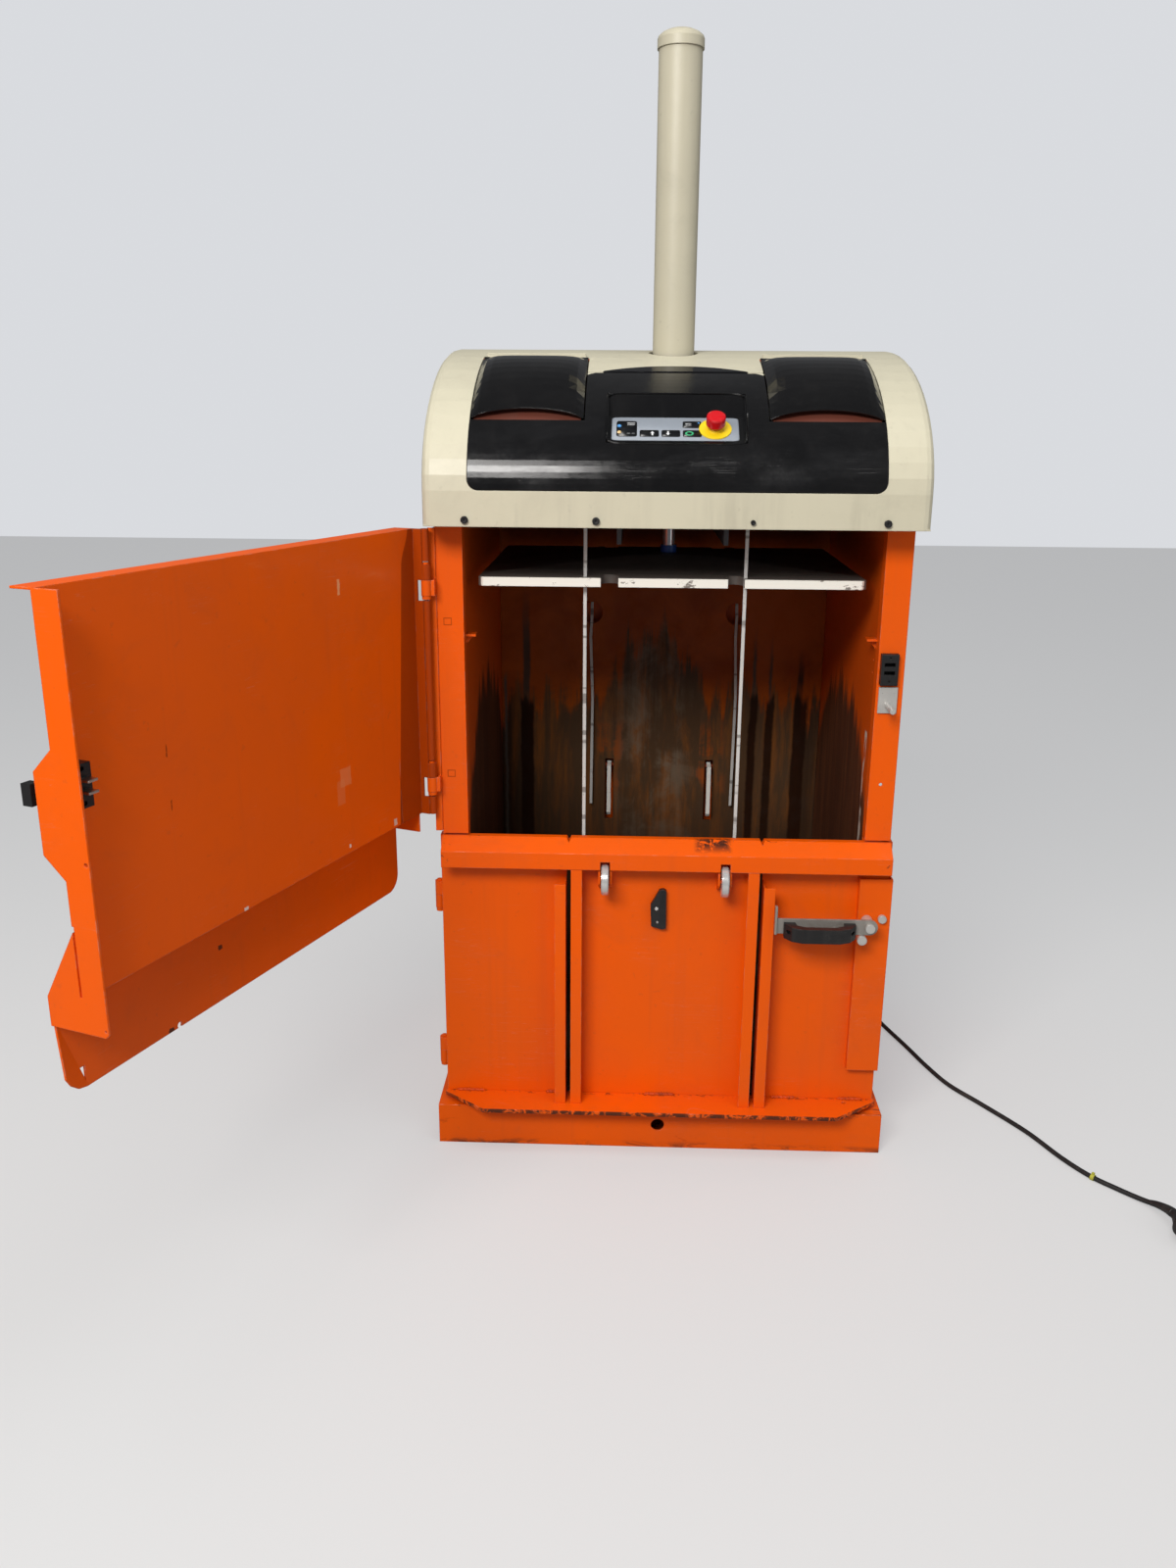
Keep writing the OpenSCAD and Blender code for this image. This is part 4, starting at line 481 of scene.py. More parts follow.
# Noises and tones of the rear wall; streaks and patches count in metres of height
rearAge = {
    "streak": {"stretch": (30, 30, 1.6), "detail": 6.0, "rough": 0.72}, "streakHeight": 0.42,
    "patch": {"scale": 7.0, "detail": 6.0, "rough": 0.65, "distort": 0.5}, "patchHeight": 0.12,
    "wobble": {"stretch": (3, 3, 9), "detail": 5.0, "rough": 0.7}, "wobbleWidth": 0.012,
    "rust": {"stretch": (18, 18, 2.0), "detail": 6.0, "rough": 0.7, "distort": 0.4, "span": (0.44, 0.68)},
    "darkRust": (0.080, 0.048, 0.025), "brightRust": (0.270, 0.090, 0.018),
    "paintLine": (0.700, 0.755), "paintDrift": (-0.2, 0.2),
    "darkPaint": (0.30, 0.050, 0.001), "brightPaint": (0.44, 0.085, 0.003),
    "middle": {"x": -0.012, "reach": (0.02, 0.13), "climb": 0.16, "streaks": 0.6, "drift": (-0.08, 0.16),
               "strength": 0.85, "tone": (0.190, 0.150, 0.105)},
    "low": {"heights": (0.62, 0.30), "strength": 0.8, "tone": (0.020, 0.013, 0.009)},
    # outer is painted shade: the steel darkens towards the chamber's corners
    "outer": {"reach": (0.300, 0.330), "drift": (-0.25, 0.05), "strength": 0.8,
              "tone": (0.020, 0.015, 0.010)},
    "markStreaks": 0.10, "markEdge": (-0.002, 0.004), "markFoot": (-0.03, 0.02), "markStrength": 0.95,
    "spot": {"x": 0.111, "half": 0.026, "depths": (0.26, 0.30), "heights": (0.53, 0.67), "soft": 0.04,
             "drift": (-0.02, 0.10), "strength": 0.8, "tone": (0.36, 0.075, 0.010)},
    "dust": {"scale": 26.0, "detail": 8.0, "rough": 0.7, "span": (0.42, 0.72)},
    "dustStrength": 0.15, "dustTone": (0.02, 0.015, 0.012), "cover": 0.88, "rough": (0.32, 0.60),
}


def rearWear(net, at, surface):
    # Paint above a ragged line that climbs in the middle, smeared steel below with painted shade towards the
    # side walls, black bars where rails rub
    age = rearAge
    middle, low, outer, spot = (age[key] for key in ("middle", "low", "outer", "spot"))
    x, y, z = net.xyz(at)
    streak, patch = net.swing(at, **age["streak"]), net.swing(at, **age["patch"])
    central = net.ramp(net.absolute(net.less(x, middle["x"])), *middle["reach"], 1.0, 0.0)
    ragged = net.add(net.times(streak, age["streakHeight"]), net.times(patch, age["patchHeight"]))
    above = net.ramp(net.less(net.add(z, ragged), net.times(central, middle["climb"])), *age["paintLine"])
    steel = net.mix(net.patches(at, **age["rust"]), age["darkRust"], age["brightRust"])
    grey = net.ramp(net.add(patch, net.times(streak, middle["streaks"])), *middle["drift"])
    steel = net.mix(net.times(net.times(central, grey), middle["strength"]), steel, middle["tone"])
    steel = net.mix(net.ramp(z, *low["heights"], 0.0, low["strength"]), steel, low["tone"])
    # Painted shade: darken the steel towards both side walls, where the chamber's corners lie in shadow
    sideShade = net.times(net.ramp(net.absolute(x), *outer["reach"]), net.ramp(streak, *outer["drift"]))
    steel = net.mix(net.times(sideShade, outer["strength"]), steel, outer["tone"])
    paint = net.mix(net.ramp(patch, *age["paintDrift"]), age["darkPaint"], age["brightPaint"])
    color = net.mix(above, steel, paint)
    shifted = net.add(x, net.times(net.swing(at, **age["wobble"]), age["wobbleWidth"]))
    tall = net.add(z, net.times(streak, age["markStreaks"]))
    for left, end, top, bottom, tone, fade in wallMarks.values():
        across = net.least(net.less(shifted, left), net.less(end, shifted))
        foot = net.ramp(tall, bottom + age["markFoot"][0], bottom + age["markFoot"][1])
        head = net.ramp(tall, top - fade, top, age["markStrength"], 0.0)
        color = net.mix(net.times(net.times(net.ramp(across, *age["markEdge"]), foot), head), color, tone)
    for centre in (-spot["x"], spot["x"]):
        corners = ((centre + way * spot["half"], depth, height)
                   for way, depth, height in zip((-1, 1), spot["depths"], spot["heights"]))
        drift = net.ramp(net.add(streak, patch), *spot["drift"])
        place = net.times(net.box(at, *corners, spot["soft"]), drift)
        color = net.mix(net.times(place, spot["strength"]), color, spot["tone"])
    dust = net.patches(at, **age["dust"])
    dusty = net.mix(net.times(dust, age["dustStrength"]), color, net.mix(0.5, color, age["dustTone"]))
    net.stain(surface, age["cover"], dusty)
    surface["Roughness"] = net.ramp(dust, 0.0, 1.0, *age["rough"])


platenAge = {
    "front": ((-0.36, -0.30, 1.0), (0.36, -0.2785, 1.12), 0.0015), "pale": (0.86, 0.84, 0.76),
    "chips": {"stretch": (1, 1, 2), "scale": 26.0, "detail": 6.0, "rough": 0.75, "span": (0.60, 0.64)},
    "chipStrength": 0.85, "chipTone": (0.10, 0.075, 0.06),
    "wiped": {"stretch": (1.5, 8, 8), "turn": (0, 0, 0.15), "scale": 2.0, "detail": 7.0, "rough": 0.7,
              "span": (0.40, 0.68)},
    "wipedStrength": 0.5, "wipedTone": (0.16, 0.135, 0.12),
}


def platenLook(net, at, surface):
    # Pale chipped front edge, wiped grey plate behind it
    chips = net.times(net.patches(at, **platenAge["chips"]), platenAge["chipStrength"])
    pale = net.mix(chips, platenAge["pale"], platenAge["chipTone"])
    wiped = net.times(net.patches(at, **platenAge["wiped"]), platenAge["wipedStrength"])
    net.stain(surface, wiped, platenAge["wipedTone"])
    net.stain(surface, net.box(at, *platenAge["front"]), pale)


prongs = {"from": -0.3296, "soft": 0.0002, "tone": (0.58, 0.55, 0.50)}


def keyLook(net, at, surface):
    # Bright prongs in front of the black block
    bright = net.ramp(net.less(closedPlace(net, at)[1], prongs["from"]), -prongs["soft"], prongs["soft"])
    net.stain(surface, bright, prongs["tone"])
    surface["Metallic"] = net.most(surface["Metallic"], bright)


lipAge = {
    "rag": {"scale": 60.0, "detail": 7.0, "rough": 0.75, "distort": 1.2},
    "spot": ((0.055, -0.330, 0.600), (0.112, -0.306, 0.625), 0.016), "spotSpan": (0.44, 0.50),
    "spotStrength": 0.95,
    "top": ((-0.40, -0.3145, 0.610), (0.40, -0.3085, 0.615), 0.002), "topSpan": (0.60, 0.64),
    "ends": (0.375, 0.392), "endSpan": (0.58, 0.63), "scrapeStrength": 0.8, "tone": (0.022, 0.014, 0.010),
}


def lipWear(net, at, surface):
    # Black scorch on the top of the lip, scrapes along its front edge and at its ends
    rag = net.patches(at, **lipAge["rag"])
    spot = net.times(net.box(at, *lipAge["spot"]), net.ramp(rag, *lipAge["spotSpan"]))
    sideways = net.absolute(net.xyz(at)[0])
    ends = net.times(net.ramp(sideways, *lipAge["ends"]), net.ramp(rag, *lipAge["endSpan"]))
    top = net.times(net.box(at, *lipAge["top"]), net.ramp(rag, *lipAge["topSpan"]))
    scrapes = net.times(net.most(ends, top), lipAge["scrapeStrength"])
    net.stain(surface, net.most(net.times(spot, lipAge["spotStrength"]), scrapes), lipAge["tone"])


# Lower door's bottom plate: its front edge lies at y = front, and past x = corner it slopes back
sillAge = {
    "rag": {"scale": 55.0, "detail": 7.0, "rough": 0.75, "distort": 0.8},
    "front": -0.3672, "corner": 0.327, "slope": -0.75, "edge": (0.0035, 0.0005), "edgeSpan": (0.42, 0.52),
    "weld": -0.300, "seam": (0.010, 0.002), "seamSpan": (0.50, 0.58), "seamShare": 0.7,
    "strength": 0.92, "tone": (0.030, 0.017, 0.011),
}


def sillWear(net, at, surface):
    # Front edge scraped to black steel, brown dirt along the weld
    x, y = net.xyz(at)[:2]
    behind = net.less(y, sillAge["front"])
    slope = net.times(net.less(net.absolute(x), sillAge["corner"]), sillAge["slope"])
    rag = net.patches(at, **sillAge["rag"])
    edge = net.ramp(net.least(behind, net.add(behind, slope)), *sillAge["edge"])
    worn = net.times(edge, net.ramp(rag, *sillAge["edgeSpan"]))
    seam = net.ramp(net.absolute(net.less(y, sillAge["weld"])), *sillAge["seam"])
    dirt = net.times(net.times(seam, net.ramp(rag, *sillAge["seamSpan"])), sillAge["seamShare"])
    net.stain(surface, net.times(net.most(worn, dirt), sillAge["strength"]), sillAge["tone"])


plinthAge = {
    "rag": {"stretch": (9, 9, 26), "detail": 7.0, "rough": 0.75, "distort": 0.6},
    "top": (0.066, 0.080), "topSpan": (0.54, 0.62), "foot": (0.016, 0.002), "footSpan": (0.48, 0.60),
    "dripSpan": (0.62, 0.68), "dripStrength": 0.5, "dripTone": (0.42, 0.040, 0.0),
    "strength": 0.7, "tone": (0.060, 0.026, 0.014),
}


def plinthWear(net, at, surface):
    # Scuffed upper and lower edges of the base, with darker drips between them
    z = net.xyz(at)[2]
    rag = net.patches(at, **plinthAge["rag"])
    top = net.times(net.ramp(z, *plinthAge["top"]), net.ramp(rag, *plinthAge["topSpan"]))
    foot = net.times(net.ramp(z, *plinthAge["foot"]), net.ramp(rag, *plinthAge["footSpan"]))
    drips = net.times(net.ramp(rag, *plinthAge["dripSpan"]), plinthAge["dripStrength"])
    net.stain(surface, drips, plinthAge["dripTone"])
    net.stain(surface, net.times(net.most(top, foot), plinthAge["strength"]), plinthAge["tone"])


weaving = {
    "ribs": {"Scale": 260.0, "Distortion": 0.6}, "crossRibs": {"Scale": 170.0, "Distortion": 1.0},
    "bump": 0.5, "bumpDistance": 0.0004, "grooveStrength": 0.5, "grooveTone": (0.25, 0.24, 0.22),
    "marks": {"stretch": (1, 1, 46), "detail": 2.0, "span": (0.60, 0.66)}, "markStrength": 0.7,
    "markTone": (0.13, 0.115, 0.10),
}


def weave(net, at, surface):
    # Fine ribs along the strap and dark handling marks
    waves = [net.node("ShaderNodeTexWave", {"Vector": at, **values}, wave_type="BANDS", bands_direction=way)
             for way, values in (("X", weaving["ribs"]), ("Z", weaving["crossRibs"]))]
    height = net.add(waves[0].outputs["Fac"], waves[1].outputs["Fac"])
    marks = net.times(net.patches(at, **weaving["marks"]), weaving["markStrength"])
    grooves = net.times(net.less(1.0, height), weaving["grooveStrength"], clamp=True)
    net.stain(surface, grooves, weaving["grooveTone"])
    net.stain(surface, marks, weaving["markTone"])
    surface["Normal"] = net.bump(weaving["bump"], weaving["bumpDistance"], height, surface["Normal"])


# Axle of the strapping rolls (y, z), and layers in radians per metre of radius
rollLayers = {"axle": (-0.160, 1.292), "layers": 4200.0, "drift": {"scale": 20.0, "detail": 2.0},
              "driftReach": 0.004, "bump": 0.6, "bumpDistance": 0.0005, "grooves": (-1.0, 0.2, 0.55, 0.0),
              "tone": (0.16, 0.15, 0.14)}


def winding(net, at, surface):
    # Layers of strap round the roll's axle: sin(layers * distance from the axle)
    y, z = net.xyz(at)[1:]
    axleY, axleZ = rollLayers["axle"]
    squares = net.add(net.power(net.less(y, axleY), 2.0), net.power(net.less(z, axleZ), 2.0))
    drift = net.times(net.patches(at, **rollLayers["drift"]), rollLayers["driftReach"])
    layer = net.math("SINE", net.times(net.add(net.math("SQRT", squares), drift), rollLayers["layers"]))
    net.stain(surface, net.ramp(layer, *rollLayers["grooves"]), rollLayers["tone"])
    surface["Normal"] = net.bump(rollLayers["bump"], rollLayers["bumpDistance"], layer, surface["Normal"])


# Finishes that share their aging: paint, gloss, black plastic, printed signs, lamps and straps
painted = {"rough": 0.36, "coat": 0.04, "spec": 0.15, "Under": primer, "Grime": 0.12, "Scratch": 0.10,
           "Edge": 0.45, "Vary": 0.18}
gloss = {"rough": 0.10, "spec": 0.45, "Under": (0.07, 0.07, 0.07), "Dirt": (0.06, 0.056, 0.052),
         "Grime": 0.08, "Scratch": 0.10, "Edge": 0.10, "Vary": 0.1, "Grain": 0.0}
plastic = {"spec": 0.4, "Under": (0.12, 0.12, 0.12), "Dirt": (0.10, 0.09, 0.08), "Grime": 0.15}
printed = {"Grime": 0.05, "Scratch": 0.05, "Edge": 0.0}
lens = {"rough": 0.15, "coat": 0.5, "Grime": 0.03, "Scratch": 0.0, "Edge": 0.0, "Grain": 0.0}
strapAging = {"Under": (0.45, 0.44, 0.42), "Dirt": (0.10, 0.09, 0.08), "Grime": 0.4, "Scratch": 0.1,
              "Edge": 0.0}
orangeParts = {"orange": None, "orangeFrame": chamberWear, "orangeDoor": doorWear, "orangeLip": lipWear,
               "orangeSill": sillWear, "orangePlinth": plinthWear}
for name, extra in orangeParts.items():
    makeMaterial(name, orange, extra=extra, **painted)
makeMaterial("orangePlain", orange, 0.4, spec=0.15, Under=(0.5, 0.06, 0.0), Grime=0.3, Scratch=0.1,
             Edge=0.0)
makeMaterial("weldOrange", (0.62, 0.062, 0.0), 0.5, spec=0.3, Under=(0.10, 0.05, 0.03),
             Dirt=(0.03, 0.015, 0.01), Grime=0.8, Scratch=0.2, Edge=0.8)
# Darker copy of the orange paint: painted shade for the claw brackets inside the chamber
makeMaterial("orangePaintedShade", (0.30, 0.030, 0.0), 0.45, spec=0.3, Under=primer, Grime=0.4, Edge=0.5)
makeMaterial("rearWall", (0.13, 0.030, 0.005), 0.5, spec=0.12, extra=rearWear, Under=(0.20, 0.17, 0.14),
             Grime=0.5, Scratch=0.5)
makeMaterial("floorSteel", (0.075, 0.050, 0.034), 0.5, Under=(0.20, 0.17, 0.15), Grime=0.7, Scratch=0.8,
             Worn=0.3, Vary=0.6)
makeMaterial("beige", (0.575, 0.535, 0.40), 0.40, spec=0.4, extra=hoodTrim, Under=(0.75, 0.72, 0.62),
             Grime=0.12, Scratch=0.12, Edge=0.1, Vary=0.12)
makeMaterial("tube", (0.52, 0.48, 0.36), 0.40, spec=0.4, Under=(0.6, 0.57, 0.48), Grime=0.15, Scratch=0.2,
             Edge=0.3, Vary=0.15)
makeMaterial("glossBlack", (0.0035, 0.0035, 0.004), **gloss)
makeMaterial("glossFront", (0.0035, 0.0035, 0.004), extra=frontTrim, **gloss)
makeMaterial("blackPlastic", (0.010, 0.010, 0.011), 0.40, Scratch=0.25, Edge=0.35, **plastic)
makeMaterial("interlockKey", (0.009, 0.009, 0.010), 0.35, extra=keyLook, Scratch=0.2, Edge=0.3, **plastic)
makeMaterial("darkSteel", (0.05, 0.05, 0.055), 0.45, Grime=0.35, Scratch=0.4, Edge=0.5)
makeMaterial("platenPaint", (0.105, 0.085, 0.075), 0.5, spec=0.4, extra=platenLook,
             Under=(0.30, 0.27, 0.24), Grime=0.45, Scratch=0.3, Edge=0.5, Vary=0.4)
makeMaterial("palePaint", (0.84, 0.83, 0.77), 0.45, Under=(0.22, 0.08, 0.03), Dirt=(0.25, 0.12, 0.06),
             Grime=0.3, Scratch=0.5, Edge=0.7)
makeMaterial("zinc", (0.60, 0.59, 0.56), 0.30, metal=0.45, Under=(0.40, 0.36, 0.30), Grime=0.2,
             Scratch=0.4, Edge=0.2)
makeMaterial("leverSteel", (0.36, 0.34, 0.31), 0.34, metal=0.45, Under=(0.50, 0.47, 0.42),
             Dirt=(0.10, 0.06, 0.04), Grime=0.5, Scratch=0.7, Edge=0.6, Vary=0.4)
makeMaterial("brightSteel", (0.70, 0.70, 0.69), 0.22, metal=0.5, Under=(0.5, 0.48, 0.45), Grime=0.2,
             Scratch=0.5, Edge=0.2)
makeMaterial("chrome", (0.78, 0.78, 0.80), 0.12, metal=0.6, Under=(0.6, 0.6, 0.6), Grime=0.1,
             Scratch=0.15, Edge=0.1, Grain=0.0)
makeMaterial("rubber", (0.012, 0.012, 0.013), 0.50, Under=(0.07, 0.07, 0.07), Dirt=(0.15, 0.13, 0.11),
             Grime=0.3, Scratch=0.15, Edge=0.1, Grain=0.5)
makeMaterial("yellowPlastic", (0.85, 0.60, 0.010), 0.3, Under=(0.9, 0.8, 0.5), Grime=0.12, Scratch=0.1,
             Edge=0.1)
makeMaterial("yellowTie", (0.50, 0.48, 0.05), 0.45, Grime=0.25, Scratch=0.1, Edge=0.1)
makeMaterial("redPlastic", (0.56, 0.003, 0.008), 0.22, coat=0.3, Under=(0.8, 0.3, 0.25), Grime=0.06,
             Scratch=0.08, Edge=0.12)
makeMaterial("bluePaint", (0.015, 0.09, 0.40), 0.35, Grime=0.2, Scratch=0.3, Edge=0.3)
makeMaterial("boxGrey", (0.38, 0.39, 0.39), 0.4, Grime=0.2, Scratch=0.2, Edge=0.3)
makeMaterial("panelGrey", (0.30, 0.33, 0.37), 0.42, Grime=0.10, Scratch=0.12, Edge=0.0)
makeMaterial("keyBlack", (0.006, 0.007, 0.009), 0.30, Dirt=(0.08, 0.08, 0.08), **printed)
makeMaterial("signWhite", (0.75, 0.76, 0.76), 0.35, **printed)
makeMaterial("signGreen", (0.05, 0.42, 0.18), 0.35, **printed)
makeMaterial("lampBlue", (0.10, 0.35, 0.75), **lens)
makeMaterial("lampAmber", (0.80, 0.55, 0.25), **lens)
makeMaterial("rollBrown", (0.115, 0.028, 0.016), 0.5, Under=(0.16, 0.05, 0.03), Grime=0.2, Scratch=0.2,
             Edge=0.1)
makeMaterial("strap", (0.66, 0.65, 0.62), 0.34, extra=weave, sheen=0.2, **strapAging)
makeMaterial("strapRoll", (0.62, 0.61, 0.56), 0.5, extra=winding, sheen=0.1, **strapAging)

looks = {
    "orange": "rear_cover lower_door_panels latch_plate roller_brackets hinge_strip",
    "orangePlain": "hinge_pins",
    "orangeFrame": "left_side_frame right_side_frame",
    "orangeDoor": "upper_door_panel upper_door_skirt upper_door_side",
    "orangeLip": "lip_beam",
    "orangeSill": "door_sill",
    "orangePlinth": "plinth",
    "orangePaintedShade": "claw_brackets",
    "rearWall": "rear_wall",
    "floorSteel": "floor_plate",
    "beige": "hood_shell",
    "tube": "cylinder_guard guard_cap",
    "glossBlack": "left_cover right_cover control_plate",
    "glossFront": "fascia_panel",
    "blackPlastic": "interlock_socket cable_gland latch_lever strap_cutter handle_grip frame_screws",
    "interlockKey": "interlock_key",
    "darkSteel": "cross_head cylinder_barrel oil_tank pump_motor",
    "platenPaint": "platen",
    "palePaint": "left_claw right_claw",
    "zinc": "striker_plate spool_axles latch_hook door_bolts",
    "leverSteel": "handle_lever",
    "brightSteel": "piston left_roller right_roller",
    "chrome": "press_rod",
    "rubber": "supply_cord plug hydraulic_pipes",
    "yellowPlastic": "stop_base",
    "yellowTie": "cord_tie",
    "redPlastic": "stop_button",
    "bluePaint": "rod_collar",
    "boxGrey": "control_box",
    "strap": "straps",
    "strapRoll": "roll_1 roll_2 roll_3 roll_4",
}
for look, names in looks.items():
    for name in names.split():
        data = nodes[name].data
        if not data.materials:
            data.materials.append(materials[look])
        for place in nodes[name].material_slots:
            place.material = materials[look]
print("materials done")


def smoothPath(points, steps):
    # Catmull-Rom: p(t) = ((2b) + (c-a)t + (2a-5b+4c-d)t^2 + (3b-a-3c+d)t^3) / 2 for each run from b to c
    p = np.array(points, float)
    a, b, c = np.vstack([p[:1], p[:-2]]), p[:-1], p[1:]
    d = np.vstack([p[2:], p[-1:]])
    t = (np.arange(steps) / steps)[None, :, None]
    a, b, c, d = (q[:, None] for q in (a, b, c, d))
    square, cube = 2 * a - 5 * b + 4 * c - d, 3 * b - a - 3 * c + d
    run = 0.5 * (2 * b + (c - a) * t + square * t ** 2 + cube * t ** 3)
    return np.vstack([run.reshape(-1, 3), p[-1:]])


def gridFaces(rows, cols, wrap):
    # Quads between neighbouring rows; the last column joins the first where wrap is true
    r, c = np.meshgrid(np.arange(rows - 1), np.arange(cols if wrap else cols - 1), indexing="ij")
    after = (c + 1) % cols
    quads = [r * cols + c, r * cols + after, (r + 1) * cols + after, (r + 1) * cols + c]
    return np.stack(quads, -1).reshape(-1, 4).tolist()


def closedFaces(rows, cols):
    # A skin of wrapped rows with a flat cap on the first row and one on the last
    last = (rows - 1) * cols
    return gridFaces(rows, cols, True) + [list(range(cols - 1, -1, -1)), list(range(last, last + cols))]


def circle(count):
    return np.linspace(0, 2 * np.pi, count, endpoint=False)


def rounded(a, power):
    # Rounded rectangle |x|^(2/power) + |y|^(2/power) = 1 at the angles a
    return tuple(np.sign(q) * np.abs(q) ** power for q in (np.cos(a), np.sin(a)))


def addPiece(name, vertices, faces, look, body, smooth=True):
    mesh = bpy.data.meshes.new(name)
    mesh.from_pydata(np.asarray(vertices, float).reshape(-1, 3).tolist(), [], faces)
    mesh.update()
    mesh.polygons.foreach_set("use_smooth", np.full(len(mesh.polygons), smooth))
    mesh.materials.append(materials[look])
    piece = bpy.data.objects.new(name, mesh)
    scene.collection.objects.link(piece)
    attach(piece, body)
    return piece


def tube(name, path, radii, look, body, sides=16):
    # P(s, a) = path(s) + r(s) (cos a n + sin a b); n leans to a direction that no part of the path takes
    path = np.array(path, float)
    t = np.gradient(path, axis=0)
    t /= np.linalg.norm(t, axis=1)[:, None]
    lean = np.array([0.83, 0.50, 0.25])
    n = lean - (t @ lean)[:, None] * t
    n /= np.linalg.norm(n, axis=1)[:, None]
    b = np.cross(t, n)
    a = circle(sides)[None, :, None]
    r = np.broadcast_to(np.array(radii, float), (len(path),))[:, None, None]
    rings = path[:, None] + r * (np.cos(a) * n[:, None] + np.sin(a) * b[:, None])
    return addPiece(name, rings, closedFaces(len(path), sides), look, body)


def turnedPiece(name, profile, centre, axis, look, body, sides=48):
    # Revolved profile: P(s, a) = centre + h(s) axis + r(s) (cos a u + sin a v)
    w = np.array(axis, float) / np.linalg.norm(axis)
    u = np.cross(w, [1, 0, 0] if abs(w[0]) < 0.9 else [0, 1, 0])
    u /= np.linalg.norm(u)
    v = np.cross(w, u)
    r, h = np.array(profile, float).T[:, :, None, None]
    a = circle(sides)[None, :, None]
    points = np.array(centre, float) + r * (np.cos(a) * u + np.sin(a) * v) + h * w
    return addPiece(name, points, closedFaces(len(r), sides), look, body)


def pad(name, centre, across, along, half, height, corner, look, body, rings=4, sides=48):
    # Raised pad: rounded rectangle |x/a|^n + |y/b|^n = 1, drawn in as it rises to its flat top
    u, v = np.array(across, float), np.array(along, float)
    w = np.cross(u, v)
    x, y = rounded(circle(sides), 2.0 / corner)
    quarter = np.linspace(0, 1, rings) * np.pi / 2
    inset = (1 - 0.5 * height * (1 - np.cos(quarter)) / min(half))[:, None]
    lift = (height * np.sin(quarter))[:, None, None]
    flat = (inset * x * half[0])[..., None] * u + (inset * y * half[1])[..., None] * v
    points = np.array(centre, float) + flat + lift * w
    return addPiece(name, points, closedFaces(rings, sides), look, body)


# Supply cord: the same points as the solid, in metres
lead = {"radius": 0.0045, "floor": 0.0046, "hoodBack": 0.335, "steps": 8, "bootLength": 22,
        "bootRadius": 0.0085, "bootTip": 0.0050}
back, low = lead["hoodBack"], lead["floor"]
leadPoints = [
    (0.300, back + 0.017, 1.210), (0.300, back + 0.034, 1.209), (0.300, back + 0.052, 1.200),
    (0.301, back + 0.063, 1.183), (0.302, back + 0.068, 1.160), (0.303, back + 0.069, 1.0769),
    (0.306, back + 0.070, 0.9196), (0.310, back + 0.070, 0.7623), (0.314, back + 0.071, 0.605),
    (0.318, back + 0.071, 0.4356), (0.322, back + 0.072, 0.2783), (0.326, back + 0.072, 0.160),
    (0.329, back + 0.073, 0.090), (0.333, back + 0.073, 0.050), (0.343, back + 0.071, 0.022),
    (0.362, back + 0.066, 0.007), (0.392, back + 0.054, low), (0.430, back + 0.030, low),
    (0.468, 0.320, low), (0.498, 0.250, low), (0.524, 0.164, low), (0.552, 0.078, low),
    (0.578, -0.008, low), (0.607, -0.083, low), (0.653, -0.153, low), (0.714, -0.250, low),
    (0.754, -0.337, low), (0.789, -0.395, low), (0.828, -0.436, low), (0.858, -0.468, 0.007),
    (0.870, -0.488, 0.014), (0.877, -0.510, 0.021), (0.881, -0.526, 0.0243),
]
leadPath = smoothPath(leadPoints, lead["steps"])
leadPath[:, 2] = np.maximum(leadPath[:, 2], low)
supplyLead = tube("supplyLead", leadPath, lead["radius"], "rubber", "frame")
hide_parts("supply_cord")
# Boots at both ends: full thickness for three steps, then tapering along the cord
boot = lead["bootLength"]
bootRadii = np.interp(np.arange(boot), [0, 3, boot - 1],
                      [lead["bootRadius"], lead["bootRadius"], lead["bootTip"]])
exitBoot = tube("exitBoot", leadPath[:boot], bootRadii, "rubber", "frame", sides=24)
plugBoot = tube("plugBoot", leadPath[-boot:], bootRadii[::-1], "rubber", "frame", sides=24)

# Keypad on the tilted plate: places are (x, distance up the plate) in metres
tray = {"foot": (-0.346, 1.291), "tilt": math.radians(54)}
trayUp = np.array([0, math.sin(tray["tilt"]), math.cos(tray["tilt"])])
trayOut = np.array([0, -math.cos(tray["tilt"]), math.sin(tray["tilt"])])


def onTray(x, s, lift=0.0):
    return np.array([x, tray["foot"][0], tray["foot"][1]]) + s * trayUp + lift * trayOut


def trayPad(name, x0, x1, s0, s1, lift, height, look, corner):
    return pad(name, onTray((x0 + x1) / 2, (s0 + s1) / 2, lift), (1, 0, 0), trayUp,
               ((x1 - x0) / 2, (s1 - s0) / 2), height, corner, look, "frame")


keypad = {"plate": (-0.104, 0.100, 0.003, 0.062), "thick": 0.0008, "keyRise": 0.0006}
trayPad("keypadPlate", *keypad["plate"], 0.0, keypad["thick"], "panelGrey", 18.0)
keys = {
    "lampBlock": (-0.096, -0.063, 0.012, 0.052),
    "upKey": (-0.059, -0.028, 0.012, 0.029),
    "downKey": (-0.024, 0.006, 0.012, 0.029),
    "modeKey": (0.010, 0.040, 0.035, 0.052),
    "startKey": (0.010, 0.040, 0.012, 0.029),
}
for name, place in keys.items():
    trayPad(name, *place, keypad["thick"], keypad["keyRise"], "keyBlack", 9.0)

# Lamps on the keys: place, profile of (radius, height), look, sides
lamps = {
    "large": [(0.0036, 0), (0.0034, 0.0010), (0.0024, 0.0020), (0.0008, 0.0025)],
    "small": [(0.0018, 0), (0.0016, 0.0006), (0.0006, 0.0009)],
    "lift": 0.0013,
    "places": {"lampUpper": (-0.0915, 0.038, "large", "lampBlue", 24),
               "lampLower": (-0.0915, 0.022, "large", "lampAmber", 24),
               "modeLamp": (0.0355, 0.0475, "small", "lampBlue", 20)},
}
for name, (x, s, profile, look, sides) in lamps["places"].items():
    turnedPiece(name, lamps[profile], onTray(x, s, lamps["lift"]), trayOut, look, "frame",
                sides)

